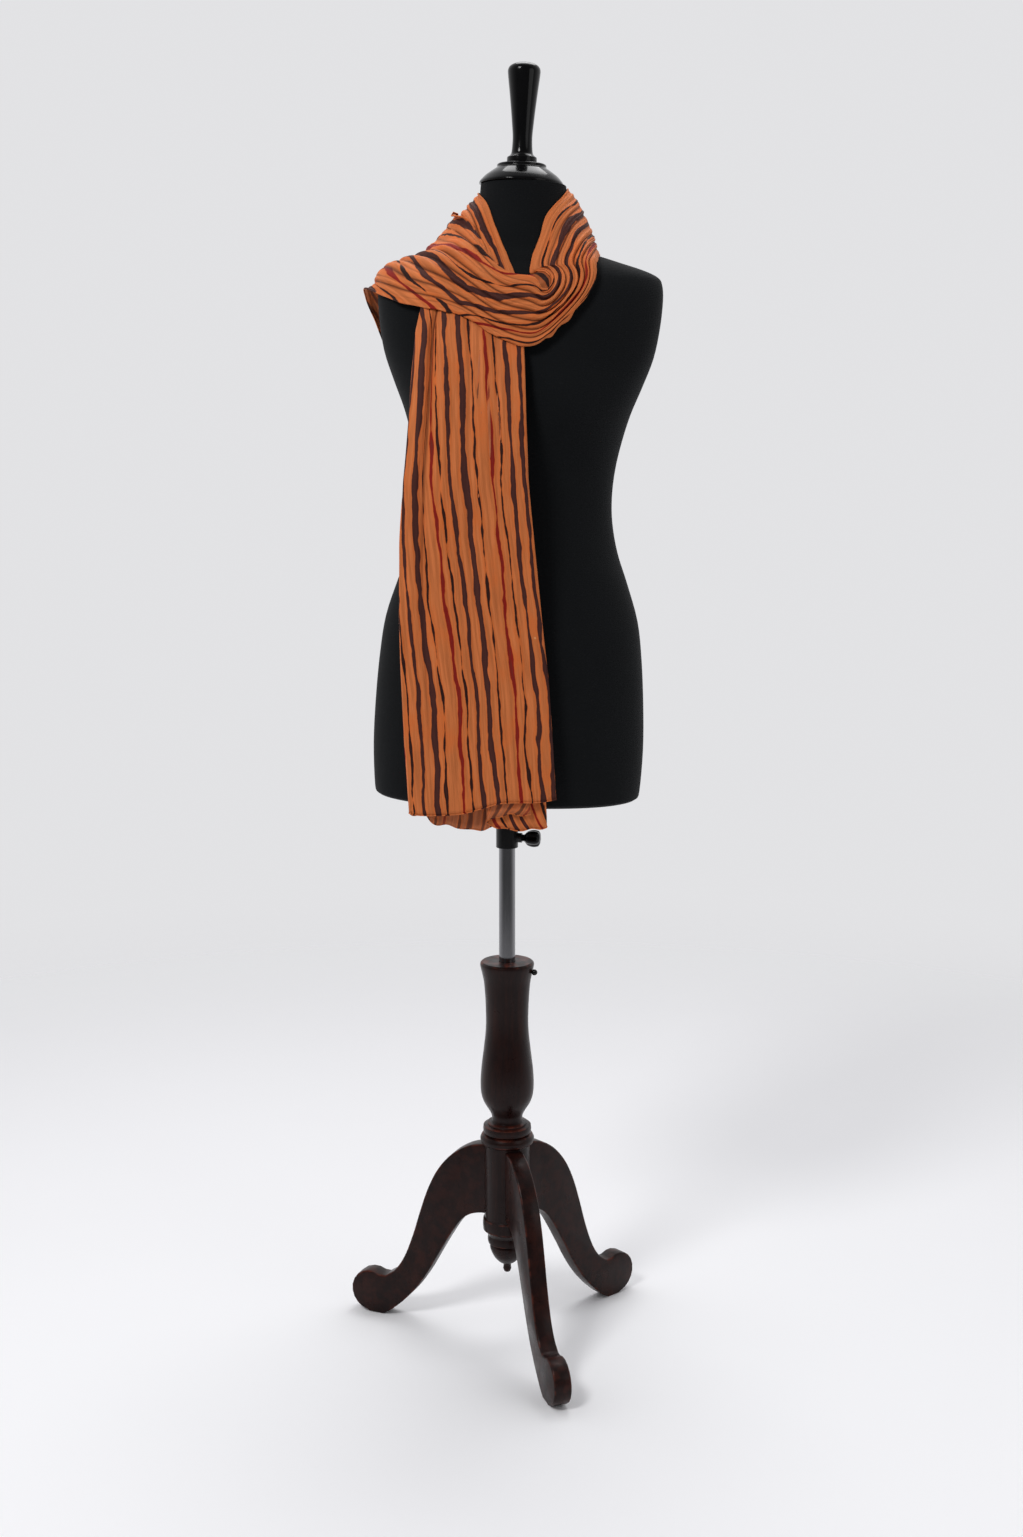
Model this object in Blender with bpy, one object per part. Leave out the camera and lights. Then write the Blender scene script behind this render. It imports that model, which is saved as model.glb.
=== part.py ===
"""Striped chiffon stole, worn wrapped once round the neck of a limbless dress form on a tripod stand.

Metres, +Z up, seen from the front along +Y. Every table below is written about the stand's own axis,
with the floor at z = 0. The stand's axis then moves to STAND_AXIS, so that the part's origin is the
centre of its own box on the floor. Left and right in the names are the wearer's.
"""

import math

import bmesh
import bpy
import numpy as np
from mathutils import Matrix, Vector
from mathutils.bvhtree import BVHTree

# Driving dimensions
STAND_AXIS = (0.0118, 0.0321)
GAP = 0.0003  # running gap between two pieces that touch
POLE_RADIUS = 0.0110
BORE_RADIUS = POLE_RADIUS + GAP
POLE_BOTTOM = 0.2700
POLE_TOP = 0.7550

# The torso leans to the wearer's left about a point of its flat base.
TORSO_BASE = 0.7640
TORSO_LEAN = math.radians(1.55)
TORSO_LEAN_X = -0.0030
TORSO_SIDES = 32

# Torso rings: height, half width, depth in front, depth behind, squareness (2 is an ellipse)
TORSO_LEVELS = (
    (0.7640, 0.1640, 0.0990, 0.1070, 2.3),
    (0.7670, 0.1715, 0.1060, 0.1145, 2.3),
    (0.7760, 0.1755, 0.1095, 0.1190, 2.3),
    (0.8310, 0.1781, 0.1110, 0.1240, 2.3),
    (0.8900, 0.1762, 0.1115, 0.1260, 2.3),
    (0.9500, 0.1716, 0.1110, 0.1230, 2.3),
    (1.0000, 0.1645, 0.1070, 0.1150, 2.2),
    (1.0490, 0.1490, 0.1000, 0.1040, 2.2),
    (1.0880, 0.1352, 0.0940, 0.0950, 2.1),
    (1.1260, 0.1272, 0.0895, 0.0890, 2.1),
    (1.1600, 0.1254, 0.0890, 0.0870, 2.1),
    (1.1950, 0.1284, 0.0930, 0.0895, 2.1),
    (1.2300, 0.1355, 0.0990, 0.0950, 2.2),
    (1.2650, 0.1455, 0.1040, 0.1010, 2.3),
    (1.3000, 0.1592, 0.1060, 0.1060, 2.5),
    (1.3360, 0.1720, 0.1050, 0.1090, 2.6),
    (1.3740, 0.1787, 0.0990, 0.1080, 2.7),
    (1.4080, 0.1812, 0.0910, 0.1020, 2.7),
    (1.4270, 0.1795, 0.0840, 0.0960, 2.6),
    (1.4360, 0.1740, 0.0790, 0.0910, 2.5),
    (1.4440, 0.1560, 0.0740, 0.0850, 2.4),
    (1.4540, 0.1220, 0.0690, 0.0780, 2.2),
    (1.4640, 0.0900, 0.0640, 0.0720, 2.1),
    (1.4780, 0.0715, 0.0600, 0.0670, 2.0),
    (1.4970, 0.0610, 0.0560, 0.0620, 2.0),
    (1.5200, 0.0560, 0.0530, 0.0580, 2.0),
    (1.5460, 0.0540, 0.0520, 0.0560, 2.0),
)
BUST_HEIGHT = 1.2680
BUST_APART = 0.0720
BUST_FULLNESS = 0.0150
BUST_REACH = 0.0480

# Turned pieces: radius, height, from the top down
CAP_PROFILE = (
    (0.0000, 1.5710),
    (0.0302, 1.5710),
    (0.0312, 1.5700),
    (0.0312, 1.5675),
    (0.0325, 1.5660),
    (0.0378, 1.5625),
    (0.0455, 1.5570),
    (0.0505, 1.5520),
    (0.0530, 1.5485),
    (0.0530, 1.5463),
    (0.0000, 1.5463),
)
HANDLE_PROFILE = (
    (0.0000, 1.6940),
    (0.0060, 1.6937),
    (0.0120, 1.6925),
    (0.0178, 1.6895),
    (0.0204, 1.6850),
    (0.0202, 1.6780),
    (0.0180, 1.6600),
    (0.0157, 1.6400),
    (0.0137, 1.6200),
    (0.0124, 1.6030),
    (0.0134, 1.5860),
    (0.0160, 1.5815),
    (0.0188, 1.5795),
    (0.0190, 1.5745),
    (0.0183, 1.5713),
    (0.0000, 1.5713),
)
COLUMN_PROFILE = (
    (0.0340, 0.5362),
    (0.0360, 0.5345),
    (0.0362, 0.5300),
    (0.0322, 0.5120),
    (0.0306, 0.4990),
    (0.0293, 0.4780),
    (0.0287, 0.4560),
    (0.0293, 0.4380),
    (0.0310, 0.4215),
    (0.0331, 0.4040),
    (0.0352, 0.3860),
    (0.0363, 0.3690),
    (0.0360, 0.3560),
    (0.0343, 0.3460),
    (0.0308, 0.3375),
    (0.0250, 0.3280),
    (0.0215, 0.3210),
    (0.0208, 0.3150),
    (0.0215, 0.3110),
    (0.0272, 0.3100),
    (0.0272, 0.3075),
    (0.0324, 0.3060),
    (0.0329, 0.3005),
    (0.0322, 0.2960),
    (0.0300, 0.2945),
    (0.0345, 0.2930),
    (0.0368, 0.2880),
    (0.0362, 0.2825),
    (0.0320, 0.2785),
    (0.0312, 0.2760),
    (0.0312, 0.1735),
    (0.0330, 0.1720),
    (0.0336, 0.1640),
    (0.0330, 0.1560),
    (0.0300, 0.1535),
    (0.0262, 0.1475),
    (0.0270, 0.1420),
    (0.0262, 0.1365),
    (0.0250, 0.1360),
)
COLUMN_BORE_BOTTOM = 0.1390
DROP_PROFILE = (
    (0.0000, 0.1357),
    (0.0225, 0.1357),
    (0.0240, 0.1310),
    (0.0228, 0.1250),
    (0.0185, 0.1160),
    (0.0120, 0.1085),
    (0.0070, 0.1055),
    (0.0052, 0.1020),
    (0.0056, 0.0970),
    (0.0040, 0.0930),
    (0.0000, 0.0920),
)
TURNED_SIDES = 24

# Socket under the torso, its knob and the column's small screw
SOCKET_RADIUS = 0.0147
SOCKET_BOTTOM = 0.6930
SOCKET_PLATE_RADIUS = 0.0450
SOCKET_PLATE = 0.0060
SOCKET_BOSS_RADIUS = 0.0065
SOCKET_BOSS_REACH = 0.0205
KNOB_HEIGHT = 0.7065
KNOB_TURN = math.radians(-12.0)
KNOB_SHANK_RADIUS = 0.0030
KNOB_LOBES = 5
KNOB_LOBE_DEPTH = 0.10
SCREW_HEIGHT = 0.5235
SCREW_TURN = math.radians(-18.0)
SCREW_SHANK_RADIUS = 0.0016
# Turned along the shank: radius, distance from the pole's axis
KNOB_PROFILE = (
    (0.0000, 0.0455),
    (0.0060, 0.0450),
    (0.0098, 0.0425),
    (0.0108, 0.0380),
    (0.0106, 0.0330),
    (0.0090, 0.0280),
    (0.0060, 0.0250),
    (0.0046, 0.0235),
    (0.0046, 0.0208),
    (0.0030, 0.0208),
    (0.0030, 0.0113),
    (0.0000, 0.0113),
)
SCREW_PROFILE = (
    (0.0000, 0.0428),
    (0.0024, 0.0420),
    (0.0038, 0.0400),
    (0.0041, 0.0385),
    (0.0036, 0.0364),
    (0.0024, 0.0356),
    (0.0016, 0.0350),
    (0.0016, 0.0113),
    (0.0000, 0.0113),
)

# Tripod legs, each a flat board sawn to one outline: distance from the axis, height
LEG_ANGLES = {"leg_front": 17.8, "leg_left": 131.5, "leg_right": -112.4}
LEG_THICKNESS = 0.0236
LEG_EDGE = 0.0025
LEG_SEAT_RADIUS = 0.0315
LEG_TOP_EDGE = (
    (0.0200, 0.2762),
    (0.0360, 0.2755),
    (0.0565, 0.2695),
    (0.0798, 0.2540),
    (0.1003, 0.2300),
    (0.1157, 0.2000),
    (0.1280, 0.1650),
    (0.1398, 0.1270),
    (0.1536, 0.0920),
    (0.1682, 0.0700),
    (0.1837, 0.0585),
)
LEG_SCROLL_CENTRE = (0.2065, 0.0317)
LEG_SCROLL_RADIUS = 0.0303
LEG_SCROLL_ARC = (118.0, -80.0)
LEG_SCROLL_STEPS = 12
LEG_UNDER_EDGE = (
    (0.2090, 0.0000),
    (0.1873, 0.0000),
    (0.1756, 0.0075),
    (0.1553, 0.0255),
    (0.1352, 0.0480),
    (0.1169, 0.0750),
    (0.1001, 0.1050),
    (0.0846, 0.1320),
    (0.0698, 0.1550),
    (0.0556, 0.1690),
    (0.0380, 0.1755),
    (0.0200, 0.1764),
)

# Stole. It is one strip of cloth, cut here into the stretches that show. The sections run across it in
# order: from the chest up the wearer's right side of the neck, behind it, down the left side, round the
# turn, across the chest, over the right shoulder and down the back.
CLOTH = 0.0012
# Inner edge x, y, z, outer edge x, y, z, belly (how far the middle stands out from the straight line)
STOLE_SECTIONS = (
    (0.0190, -0.1045, 1.3860, -0.1030, -0.0940, 1.4020, 0.0035),
    (0.0105, -0.0885, 1.4230, -0.1000, -0.0790, 1.4270, 0.0040),
    (-0.0021, -0.0680, 1.4580, -0.0965, -0.0610, 1.4480, 0.0050),
    (-0.0150, -0.0505, 1.4905, -0.0915, -0.0380, 1.4590, 0.0060),
    (-0.0270, -0.0330, 1.5200, -0.0880, -0.0190, 1.4640, 0.0060),
    (-0.0375, -0.0020, 1.5340, -0.0855, 0.0030, 1.4660, 0.0055),
    (-0.0290, 0.0330, 1.5370, -0.0800, 0.0440, 1.4590, 0.0060),
    (-0.0030, 0.0570, 1.5375, -0.0400, 0.0830, 1.4520, 0.0070),
    (0.0220, 0.0620, 1.5370, 0.0180, 0.0900, 1.4490, 0.0070),
    (0.0520, 0.0520, 1.5385, 0.0760, 0.0820, 1.4500, 0.0070),
    (0.0735, 0.0270, 1.5400, 0.1070, 0.0480, 1.4530, 0.0070),
    (0.0785, 0.0000, 1.5410, 0.1160, 0.0060, 1.4575, 0.0068),
    (0.0750, -0.0220, 1.5320, 0.1160, -0.0270, 1.4550, 0.0070),
    (0.0620, -0.0380, 1.5185, 0.1150, -0.0480, 1.4520, 0.0075),
    (0.0490, -0.0510, 1.5010, 0.1140, -0.0630, 1.4485, 0.0070),
    (0.0400, -0.0600, 1.4750, 0.1125, -0.0740, 1.4460, 0.0070),
    (0.0310, -0.0730, 1.4500, 0.1110, -0.0785, 1.4445, 0.0065),
    (0.0290, -0.0840, 1.4310, 0.1110, -0.0825, 1.4395, 0.0060),
    (0.0410, -0.0868, 1.4322, 0.1105, -0.0880, 1.4300, 0.0050),
    (0.0500, -0.0915, 1.4275, 0.1075, -0.0935, 1.4170, 0.0045),
    (0.0524, -0.0960, 1.4200, 0.0990, -0.0990, 1.4012, 0.0045),
    (0.0505, -0.1005, 1.4132, 0.0859, -0.1045, 1.3852, 0.0045),
    (0.0466, -0.1030, 1.4095, 0.0687, -0.1107, 1.3674, 0.0045),
    (0.0420, -0.1033, 1.4128, 0.0504, -0.1156, 1.3511, 0.0045),
    (0.0396, -0.1020, 1.4206, 0.0358, -0.1190, 1.3420, 0.0045),
    (0.0323, -0.0995, 1.4280, 0.0211, -0.1206, 1.3407, 0.0045),
    (0.0212, -0.0982, 1.4296, 0.0016, -0.1206, 1.3460, 0.0045),
    (0.0065, -0.0966, 1.4318, -0.0190, -0.1188, 1.3556, 0.0045),
    (-0.0082, -0.0925, 1.4397, -0.0397, -0.1156, 1.3689, 0.0045),
    (-0.0205, -0.0828, 1.4550, -0.0618, -0.1113, 1.3805, 0.0050),
    (-0.0317, -0.0700, 1.4705, -0.0863, -0.1049, 1.3869, 0.0055),
    (-0.0432, -0.0500, 1.4856, -0.1137, -0.0930, 1.3914, 0.0060),
    (-0.0555, -0.0240, 1.4985, -0.1419, -0.0715, 1.4017, 0.0010),
    (-0.0630, 0.0040, 1.5060, -0.1769, -0.0150, 1.4207, -0.0050),
    (-0.0670, 0.0300, 1.4960, -0.1800, 0.0250, 1.4120, -0.0040),
    (-0.0740, 0.0620, 1.4700, -0.1725, 0.0575, 1.3830, 0.0020),
    (-0.0730, 0.0900, 1.4400, -0.1600, 0.0835, 1.3520, 0.0040),
    (-0.0600, 0.1120, 1.3900, -0.1450, 0.1060, 1.3020, 0.0050),
    (-0.0380, 0.1240, 1.3100, -0.1270, 0.1215, 1.2380, 0.0050),
    (0.0000, 0.1290, 1.1800, -0.1180, 0.1290, 1.1400, 0.0020),
    (0.0480, 0.1360, 1.0200, -0.1280, 0.1330, 1.0000, 0.0000),
    (0.0950, 0.1440, 0.8450, -0.1370, 0.1390, 0.8380, 0.0000),
)
# Stretch: its first and last section, and its spans along the strip
STRETCHES = {
    "stole_neck_right": (0, 5, 8),
    "stole_neck_back": (5, 11, 9),
    "stole_neck_left": (11, 21, 11),
    "stole_swath": (21, 33, 14),
    "stole_shoulder": (33, 36, 4),
    "stole_back_fall": (36, 41, 7),
}
# Creases run along the strip. The first columns give the share across it from the inner edge and the
# widths of the steep and the gentle side as shares. The others give the depth in millimetres at the
# sections named in CREASE_PLACES: chest, right crest, nape, left crest, band, turn, swath, shoulder, back, end.
CREASE_PLACES = (0, 5, 8, 11, 15, 22, 28, 33, 36, 41)
CREASES = (
    (0.00, 0.010, 0.050, 0.0, 0.5, 0.5, 0.5, 0.5, 2.5, 3.0, 2.5, 1.0, 0.0),
    (0.12, 0.035, 0.060, 1.0, 2.0, 2.0, 0.6, 0.6, 1.2, 0.8, 4.5, 5.0, 14.0),
    (0.26, 0.035, 0.070, 1.2, 2.5, 3.0, 1.5, 1.2, 2.6, 1.2, 0.8, 6.0, 17.0),
    (0.40, 0.035, 0.070, 1.2, 2.0, 2.5, 2.2, 2.2, 2.4, 2.0, 5.5, 5.0, 15.0),
    (0.53, 0.035, 0.065, 1.2, 2.5, 3.0, 1.2, 1.4, 3.2, 1.4, 4.5, 6.0, 18.0),
    (0.66, 0.035, 0.060, 1.2, 2.0, 2.5, 2.6, 3.4, 3.4, 1.6, 5.0, 5.0, 14.0),
    (0.78, 0.030, 0.055, 1.4, 2.5, 3.0, 4.0, 3.8, 3.0, 2.4, 1.8, 6.0, 17.0),
    (0.89, 0.030, 0.050, 1.4, 2.0, 2.0, 3.2, 3.0, 2.4, 1.6, 2.6, 5.0, 15.0),
    (1.00, 0.030, 0.010, 0.0, 0.5, 0.5, 1.0, 1.0, 1.5, 1.5, 1.5, 1.0, 0.0),
)
CREASE_SPREAD = 1.7  # how much wider the creases of the back fall open
CREASE_OPENING = 3.0  # sections over which they open
STOLE_DRIFT = 0.012  # how far the folds wander across the strip, as a share
STOLE_EASE = 0.25  # how much each section is eased towards its neighbours
BELLY_FULLNESS = 3.5
EDGE_LIFT = 0.0030  # least height of the strip's edges over the torso
SNUG_PLACES = (31.0, 32.8)  # sections between which the strip comes to lie close on the shoulder
SNUG_LIFT = 0.0024  # its height over the torso there, before the room for its creases
CREASE_FLOOR = 0.0026  # least height over the torso at the foot of a crease
CLEAR_ROUNDS = 3
CLOTH_CLEAR = 0.0026  # least height of one stretch over another that it crosses
CLOTH_BESIDE = 0.0030
CLOTH_EASE_ROUNDS = 14
WALL_SQUAREST = 0.75  # the wall's corners grow no more than the inverse of this

# Front fall. Height, left and right edge as seen, y of its middle, how far those edges lie back
FALL_LEVELS = (
    (1.4000, -0.1030, 0.0170, -0.1060, 0.0130, 0.0020),
    (1.3600, -0.1125, 0.0205, -0.1140, 0.0160, 0.0020),
    (1.3200, -0.1160, 0.0224, -0.1245, 0.0160, 0.0020),
    (1.2600, -0.1203, 0.0239, -0.1335, 0.0140, 0.0030),
    (1.1790, -0.1285, 0.0273, -0.1370, 0.0110, 0.0040),
    (1.1000, -0.1330, 0.0345, -0.1370, 0.0080, 0.0040),
    (1.0110, -0.1351, 0.0437, -0.1360, 0.0060, 0.0040),
    (0.9300, -0.1321, 0.0528, -0.1350, 0.0050, 0.0040),
    (0.8500, -0.1293, 0.0582, -0.1345, 0.0040, 0.0040),
    (0.7600, -0.1237, 0.0636, -0.1340, 0.0040, 0.0040),
)
FALL_SPANS = 10
FALL_DEPTH_TOP = 0.0074
FALL_DEPTH_HEM = 0.0180
UNDER_LAYER_DROP = 0.0010  # how much lower than the front layer the others start
FALL_SEAM_REACH = 0.10  # share of its length over which it takes on the strip's section
FALL_FRONT_ROWS = 9  # rows of the next table that are its front layer
# Its layers, followed across the cut: share from the right edge as seen, share of the depth, hem height
FALL_LAYERS = (
    (0.000, 0.00, 0.7811),
    (0.130, 0.00, 0.7775),
    (0.260, 0.00, 0.7773),
    (0.380, 0.00, 0.7765),
    (0.500, 0.00, 0.7700),
    (0.620, 0.00, 0.7640),
    (0.730, 0.00, 0.7618),
    (0.830, 0.00, 0.7608),
    (0.920, 0.00, 0.7610),
    (0.985, 0.04, 0.7617),
    (1.000, 0.35, 0.7610),
    (0.975, 0.85, 0.7590),
    (0.900, 1.00, 0.7590),
    (0.840, 1.00, 0.7480),
    (0.700, 1.00, 0.7440),
    (0.560, 1.00, 0.7388),
    (0.420, 1.00, 0.7430),
    (0.250, 1.00, 0.7440),
    (0.095, 0.98, 0.7440),
    (0.070, 0.91, 0.7437),
    (0.070, 0.71, 0.7433),
    (0.095, 0.62, 0.7430),
    (0.220, 0.61, 0.7400),
    (0.360, 0.61, 0.7420),
    (0.430, 0.61, 0.7460),
    (0.468, 0.57, 0.7490),
    (0.468, 0.37, 0.7530),
    (0.430, 0.33, 0.7570),
    (0.350, 0.32, 0.7608),
    (0.180, 0.32, 0.7608),
)
# Soft folds down the fall: share from the right edge, half width, height at the top, middle and hem
FALL_FOLDS = (
    (0.06, 0.070, 0.0010, 0.0012, 0.0010),
    (0.26, 0.060, -0.0018, -0.0012, -0.0008),
    (0.38, 0.080, 0.0010, 0.0010, 0.0012),
    (0.50, 0.060, -0.0018, -0.0010, -0.0010),
    (0.70, 0.090, 0.0016, 0.0016, 0.0012),
    (0.83, 0.045, -0.0080, -0.0045, 0.0000),
    (0.92, 0.060, 0.0028, 0.0018, 0.0010),
)

# Colours: base colour, roughness, metallic
FINISHES = {
    "jersey": ((0.010, 0.011, 0.013), 0.90, 0.0),
    "black_lacquer": ((0.006, 0.006, 0.007), 0.15, 0.0),
    "mahogany": ((0.022, 0.009, 0.008), 0.32, 0.0),
    "steel": ((0.40, 0.40, 0.41), 0.22, 1.0),
    "black_metal": ((0.015, 0.015, 0.016), 0.35, 0.8),
    "chiffon": ((0.52, 0.15, 0.05), 0.75, 0.0),
}


def clear_scene():
    for old in list(bpy.data.objects):
        bpy.data.objects.remove(old, do_unlink=True)


def finish(name):
    """The named material, made on its first use."""
    made = bpy.data.materials.get(name)
    if made:
        return made
    colour, roughness, metallic = FINISHES[name]
    made = bpy.data.materials.new(name)
    made.use_nodes = True
    shader = made.node_tree.nodes["Principled BSDF"]
    shader.inputs["Base Color"].default_value = (*colour, 1.0)
    shader.inputs["Roughness"].default_value = roughness
    shader.inputs["Metallic"].default_value = metallic
    made.diffuse_color = (*colour, 1.0)
    return made


def add_object(name, bm, material, parent=None):
    """A mesh object from a bmesh, shaded smooth apart from its sharp edges."""
    mesh = bpy.data.meshes.new(name)
    bm.to_mesh(mesh)
    bm.free()
    mesh.shade_smooth()
    mesh.set_sharp_from_angle(angle=math.radians(40.0))
    mesh.materials.append(finish(material))
    made = bpy.data.objects.new(name, mesh)
    bpy.context.collection.objects.link(made)
    made.parent = parent
    return made


def add_axis(name, location=(0.0, 0.0, 0.0), parent=None):
    """An empty that stands on an axis and carries the pieces that move about it."""
    axis = bpy.data.objects.new(name, None)
    axis.location = location
    axis.parent = parent
    bpy.context.collection.objects.link(axis)
    return axis


def turned(profile, sides=TURNED_SIDES):
    """A closed turned body about Z from (radius, height) points that run from the top down."""
    bm = bmesh.new()
    points = [bm.verts.new((radius, 0.0, height)) for radius, height in profile]
    edges = [bm.edges.new(pair) for pair in zip(points, points[1:])]
    bmesh.ops.spin(
        bm,
        geom=points + edges,
        cent=(0.0, 0.0, 0.0),
        axis=(0.0, 0.0, 1.0),
        angle=2.0 * math.pi,
        steps=sides,
        use_merge=True,
    )
    bmesh.ops.remove_doubles(bm, verts=bm.verts, dist=1e-6)
    bmesh.ops.recalc_face_normals(bm, faces=bm.faces)
    return bm


def smooth_curve(points, steps):
    """Points along a Catmull-Rom curve through the given ones, with steps spans between two of them."""
    given = np.array(points, float)
    padded = np.vstack([2 * given[0] - given[1], given, 2 * given[-1] - given[-2]])
    curve = []
    for i in range(1, len(padded) - 2):
        before, start, end, after = padded[i - 1 : i + 3]
        for k in range(steps):
            u = k / steps
            curve.append(
                0.5
                * (
                    2 * start
                    + (end - before) * u
                    + (2 * before - 5 * start + 4 * end - after) * u**2
                    + (3 * start - before - 3 * end + after) * u**3
                )
            )
    curve.append(given[-1])
    return np.array(curve)


def cut_away(target, cutter, name):
    """Cuts one object out of another with a Boolean that stays on it."""
    cutter.hide_render = True
    cutter.display_type = "WIRE"
    modifier = target.modifiers.new(name, "BOOLEAN")
    modifier.operation = "DIFFERENCE"
    modifier.solver = "EXACT"
    modifier.object = cutter


# Torso


def lean(point):
    """Tips a point of the upright torso about its base, to the wearer's left."""
    x = point[0] - TORSO_LEAN_X
    z = point[2] - TORSO_BASE
    return Vector(
        (
            TORSO_LEAN_X + x * math.cos(TORSO_LEAN) + z * math.sin(TORSO_LEAN),
            point[1],
            TORSO_BASE + z * math.cos(TORSO_LEAN) - x * math.sin(TORSO_LEAN),
        )
    )


def bust(x, z):
    """How far the bust stands out in front of the plain ring at this place."""
    across = (abs(x) - BUST_APART) / BUST_REACH
    up = (z - BUST_HEIGHT) / BUST_REACH
    return BUST_FULLNESS * math.exp(-(across**2) - up**2)


def torso_ring(level):
    """One horizontal ring of the upright torso, anticlockwise from the wearer's left side."""
    height, half_width, front, back, squareness = level
    ring = []
    for k in range(TORSO_SIDES):
        turn = 2.0 * math.pi * k / TORSO_SIDES
        x = half_width * math.copysign(abs(math.cos(turn)) ** (2.0 / squareness), math.cos(turn))
        reach = abs(math.sin(turn)) ** (2.0 / squareness)
        y = back * reach if math.sin(turn) > 0 else -front * reach - bust(x, height) * reach
        ring.append((x, y, height))
    return ring


def torso_body():
    """The torso's rings, joined by extruding the lowest one upwards and closed at both ends."""
    bm = bmesh.new()
    rings = [[lean(p) for p in torso_ring(level)] for level in TORSO_LEVELS]
    made = bmesh.ops.create_circle(bm, cap_ends=False, segments=TORSO_SIDES, radius=1.0)
    verts = made["verts"]
    base = list(verts)
    for vert, point in zip(verts, rings[0]):
        vert.co = point
    for ring in rings[1:]:
        edges = [e for e in bm.edges if e.verts[0] in verts and e.verts[1] in verts]
        grown = bmesh.ops.extrude_edge_only(bm, edges=edges)["geom"]
        new = [g for g in grown if isinstance(g, bmesh.types.BMVert)]
        bm.verts.index_update()
        above = {}
        for vert in verts:
            for edge in vert.link_edges:
                other = edge.other_vert(vert)
                if other in new:
                    above[vert] = other
        verts = [above[vert] for vert in verts]
        for vert, point in zip(verts, ring):
            vert.co = point
    bm.faces.new(verts)
    bm.faces.new(list(reversed(base)))
    bmesh.ops.recalc_face_normals(bm, faces=bm.faces)
    return bm


def make_form(parent):
    torso = add_object("form_torso", torso_body(), "jersey", parent)
    for name, profile in (("neck_cap", CAP_PROFILE), ("cap_handle", HANDLE_PROFILE)):
        bm = turned(profile)
        for vert in bm.verts:
            vert.co = lean(vert.co + Vector((TORSO_LEAN_X, 0.0, 0.0)))
        add_object(name, bm, "black_lacquer", parent)
    return torso


# Stole


def between(table, places):
    """Rows of a table at fractional places, along Catmull-Rom curves through its rows."""
    given = np.array(table, float)
    padded = np.vstack([2 * given[0] - given[1], given, 2 * given[-1] - given[-2]])
    first = np.clip(np.floor(places).astype(int), 0, len(given) - 2)
    u = (np.asarray(places) - first)[:, None]
    before, start, end, after = (padded[first + k] for k in range(4))
    return 0.5 * (
        2 * start
        + (end - before) * u
        + (2 * before - 5 * start + 4 * end - after) * u**2
        + (3 * start - before - 3 * end + after) * u**3
    )


def unit(vectors):
    return vectors / np.maximum(np.linalg.norm(vectors, axis=-1, keepdims=True), 1e-12)


def facings(grid):
    """Unit normals of a grid's cells, on the side of the cloth that faces out."""
    one = grid[1:, 1:] - grid[:-1, :-1]
    other = grid[:-1, 1:] - grid[1:, :-1]
    return unit(np.cross(one, other))


def outward(grid):
    """Unit normals at a grid's points, and how much a wall grows there to keep its thickness."""
    cells = np.pad(facings(grid), ((1, 1), (1, 1), (0, 0)), mode="edge")
    around = (cells[:-1, :-1], cells[:-1, 1:], cells[1:, :-1], cells[1:, 1:])
    normals = unit(sum(around))
    square = sum(np.sum(normals * cell, axis=2, keepdims=True) for cell in around) / 4.0
    return normals, 1.0 / np.clip(square, WALL_SQUAREST, 1.0)


def along(grid):
    """Unit directions along the strip, square to its sections."""
    return unit(np.cross(np.gradient(grid, axis=1), outward(grid)[0]))


def lift_of(tree, point):
    """A point's height over a surface, how far it is beside it, and the surface's direction there."""
    near, normal, _, distance = tree.find_nearest(Vector(point))
    lift = (Vector(point) - near).dot(normal)
    beside = math.sqrt(max(distance**2 - lift**2, 0.0))
    return lift, beside, np.array(normal)


def lay_over_form(tree, row, shares, belly, snug, room):
    """Moves one section out until it clears the torso by its ends' lifts and its belly. Where it is snug,
    it clears the torso only by the room for its creases."""
    ends = [max(lift_of(tree, row[k])[0], EDGE_LIFT) for k in (0, -1)]
    laid = row.copy()
    for j, share in enumerate(shares):
        near, normal, _, distance = tree.find_nearest(Vector(row[j]))
        lift = distance if (Vector(row[j]) - near).dot(normal) >= 0.0 else -distance
        held = ends[0] + (ends[1] - ends[0]) * share + belly[j]
        least = held + (SNUG_LIFT + room - held) * snug
        laid[j] += np.array(normal) * max(least - lift, 0.0)
    return laid


def clear_between(tree, grid, floor):
    """Moves points out until the middles of the faces and of their sides clear what is beneath as well."""
    rows, columns = grid.shape[:2]
    for _ in range(CLEAR_ROUNDS):
        short = np.zeros((rows, columns))
        for down, over in ((0, 1), (1, 0), (1, 1)):
            middles = 0.5 * (grid[: rows - down, : columns - over] + grid[down:, over:])
            for i, j in np.ndindex(*middles.shape[:2]):
                lift, beside, _ = lift_of(tree, middles[i, j])
                need = floor - lift if beside < CLOTH_BESIDE else 0.0
                short[i, j] = max(short[i, j], need)
                short[i + down, j + over] = max(short[i + down, j + over], need)
        grid = grid + outward(grid)[0] * short[:, :, None]
    return grid


def lay_over_cloth(tree, grid, drops):
    """Moves a stretch out until its creases clear the cloth beneath it, and eases it round those places."""
    short = np.zeros(grid.shape[:2])
    for i, j in np.ndindex(*short.shape):
        lift, beside, _ = lift_of(tree, grid[i, j])
        if beside < CLOTH_BESIDE:
            short[i, j] = max(CLOTH_CLEAR + drops[i, j] - lift, 0.0)
    eased = short.copy()
    for _ in range(CLOTH_EASE_ROUNDS):
        edge = np.pad(eased, 1, mode="edge")
        mean = (edge[:-2, 1:-1] + edge[2:, 1:-1] + edge[1:-1, :-2] + edge[1:-1, 2:]) / 4.0
        eased = np.maximum(short, mean)
    return grid + outward(grid)[0] * eased[:, :, None]


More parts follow.
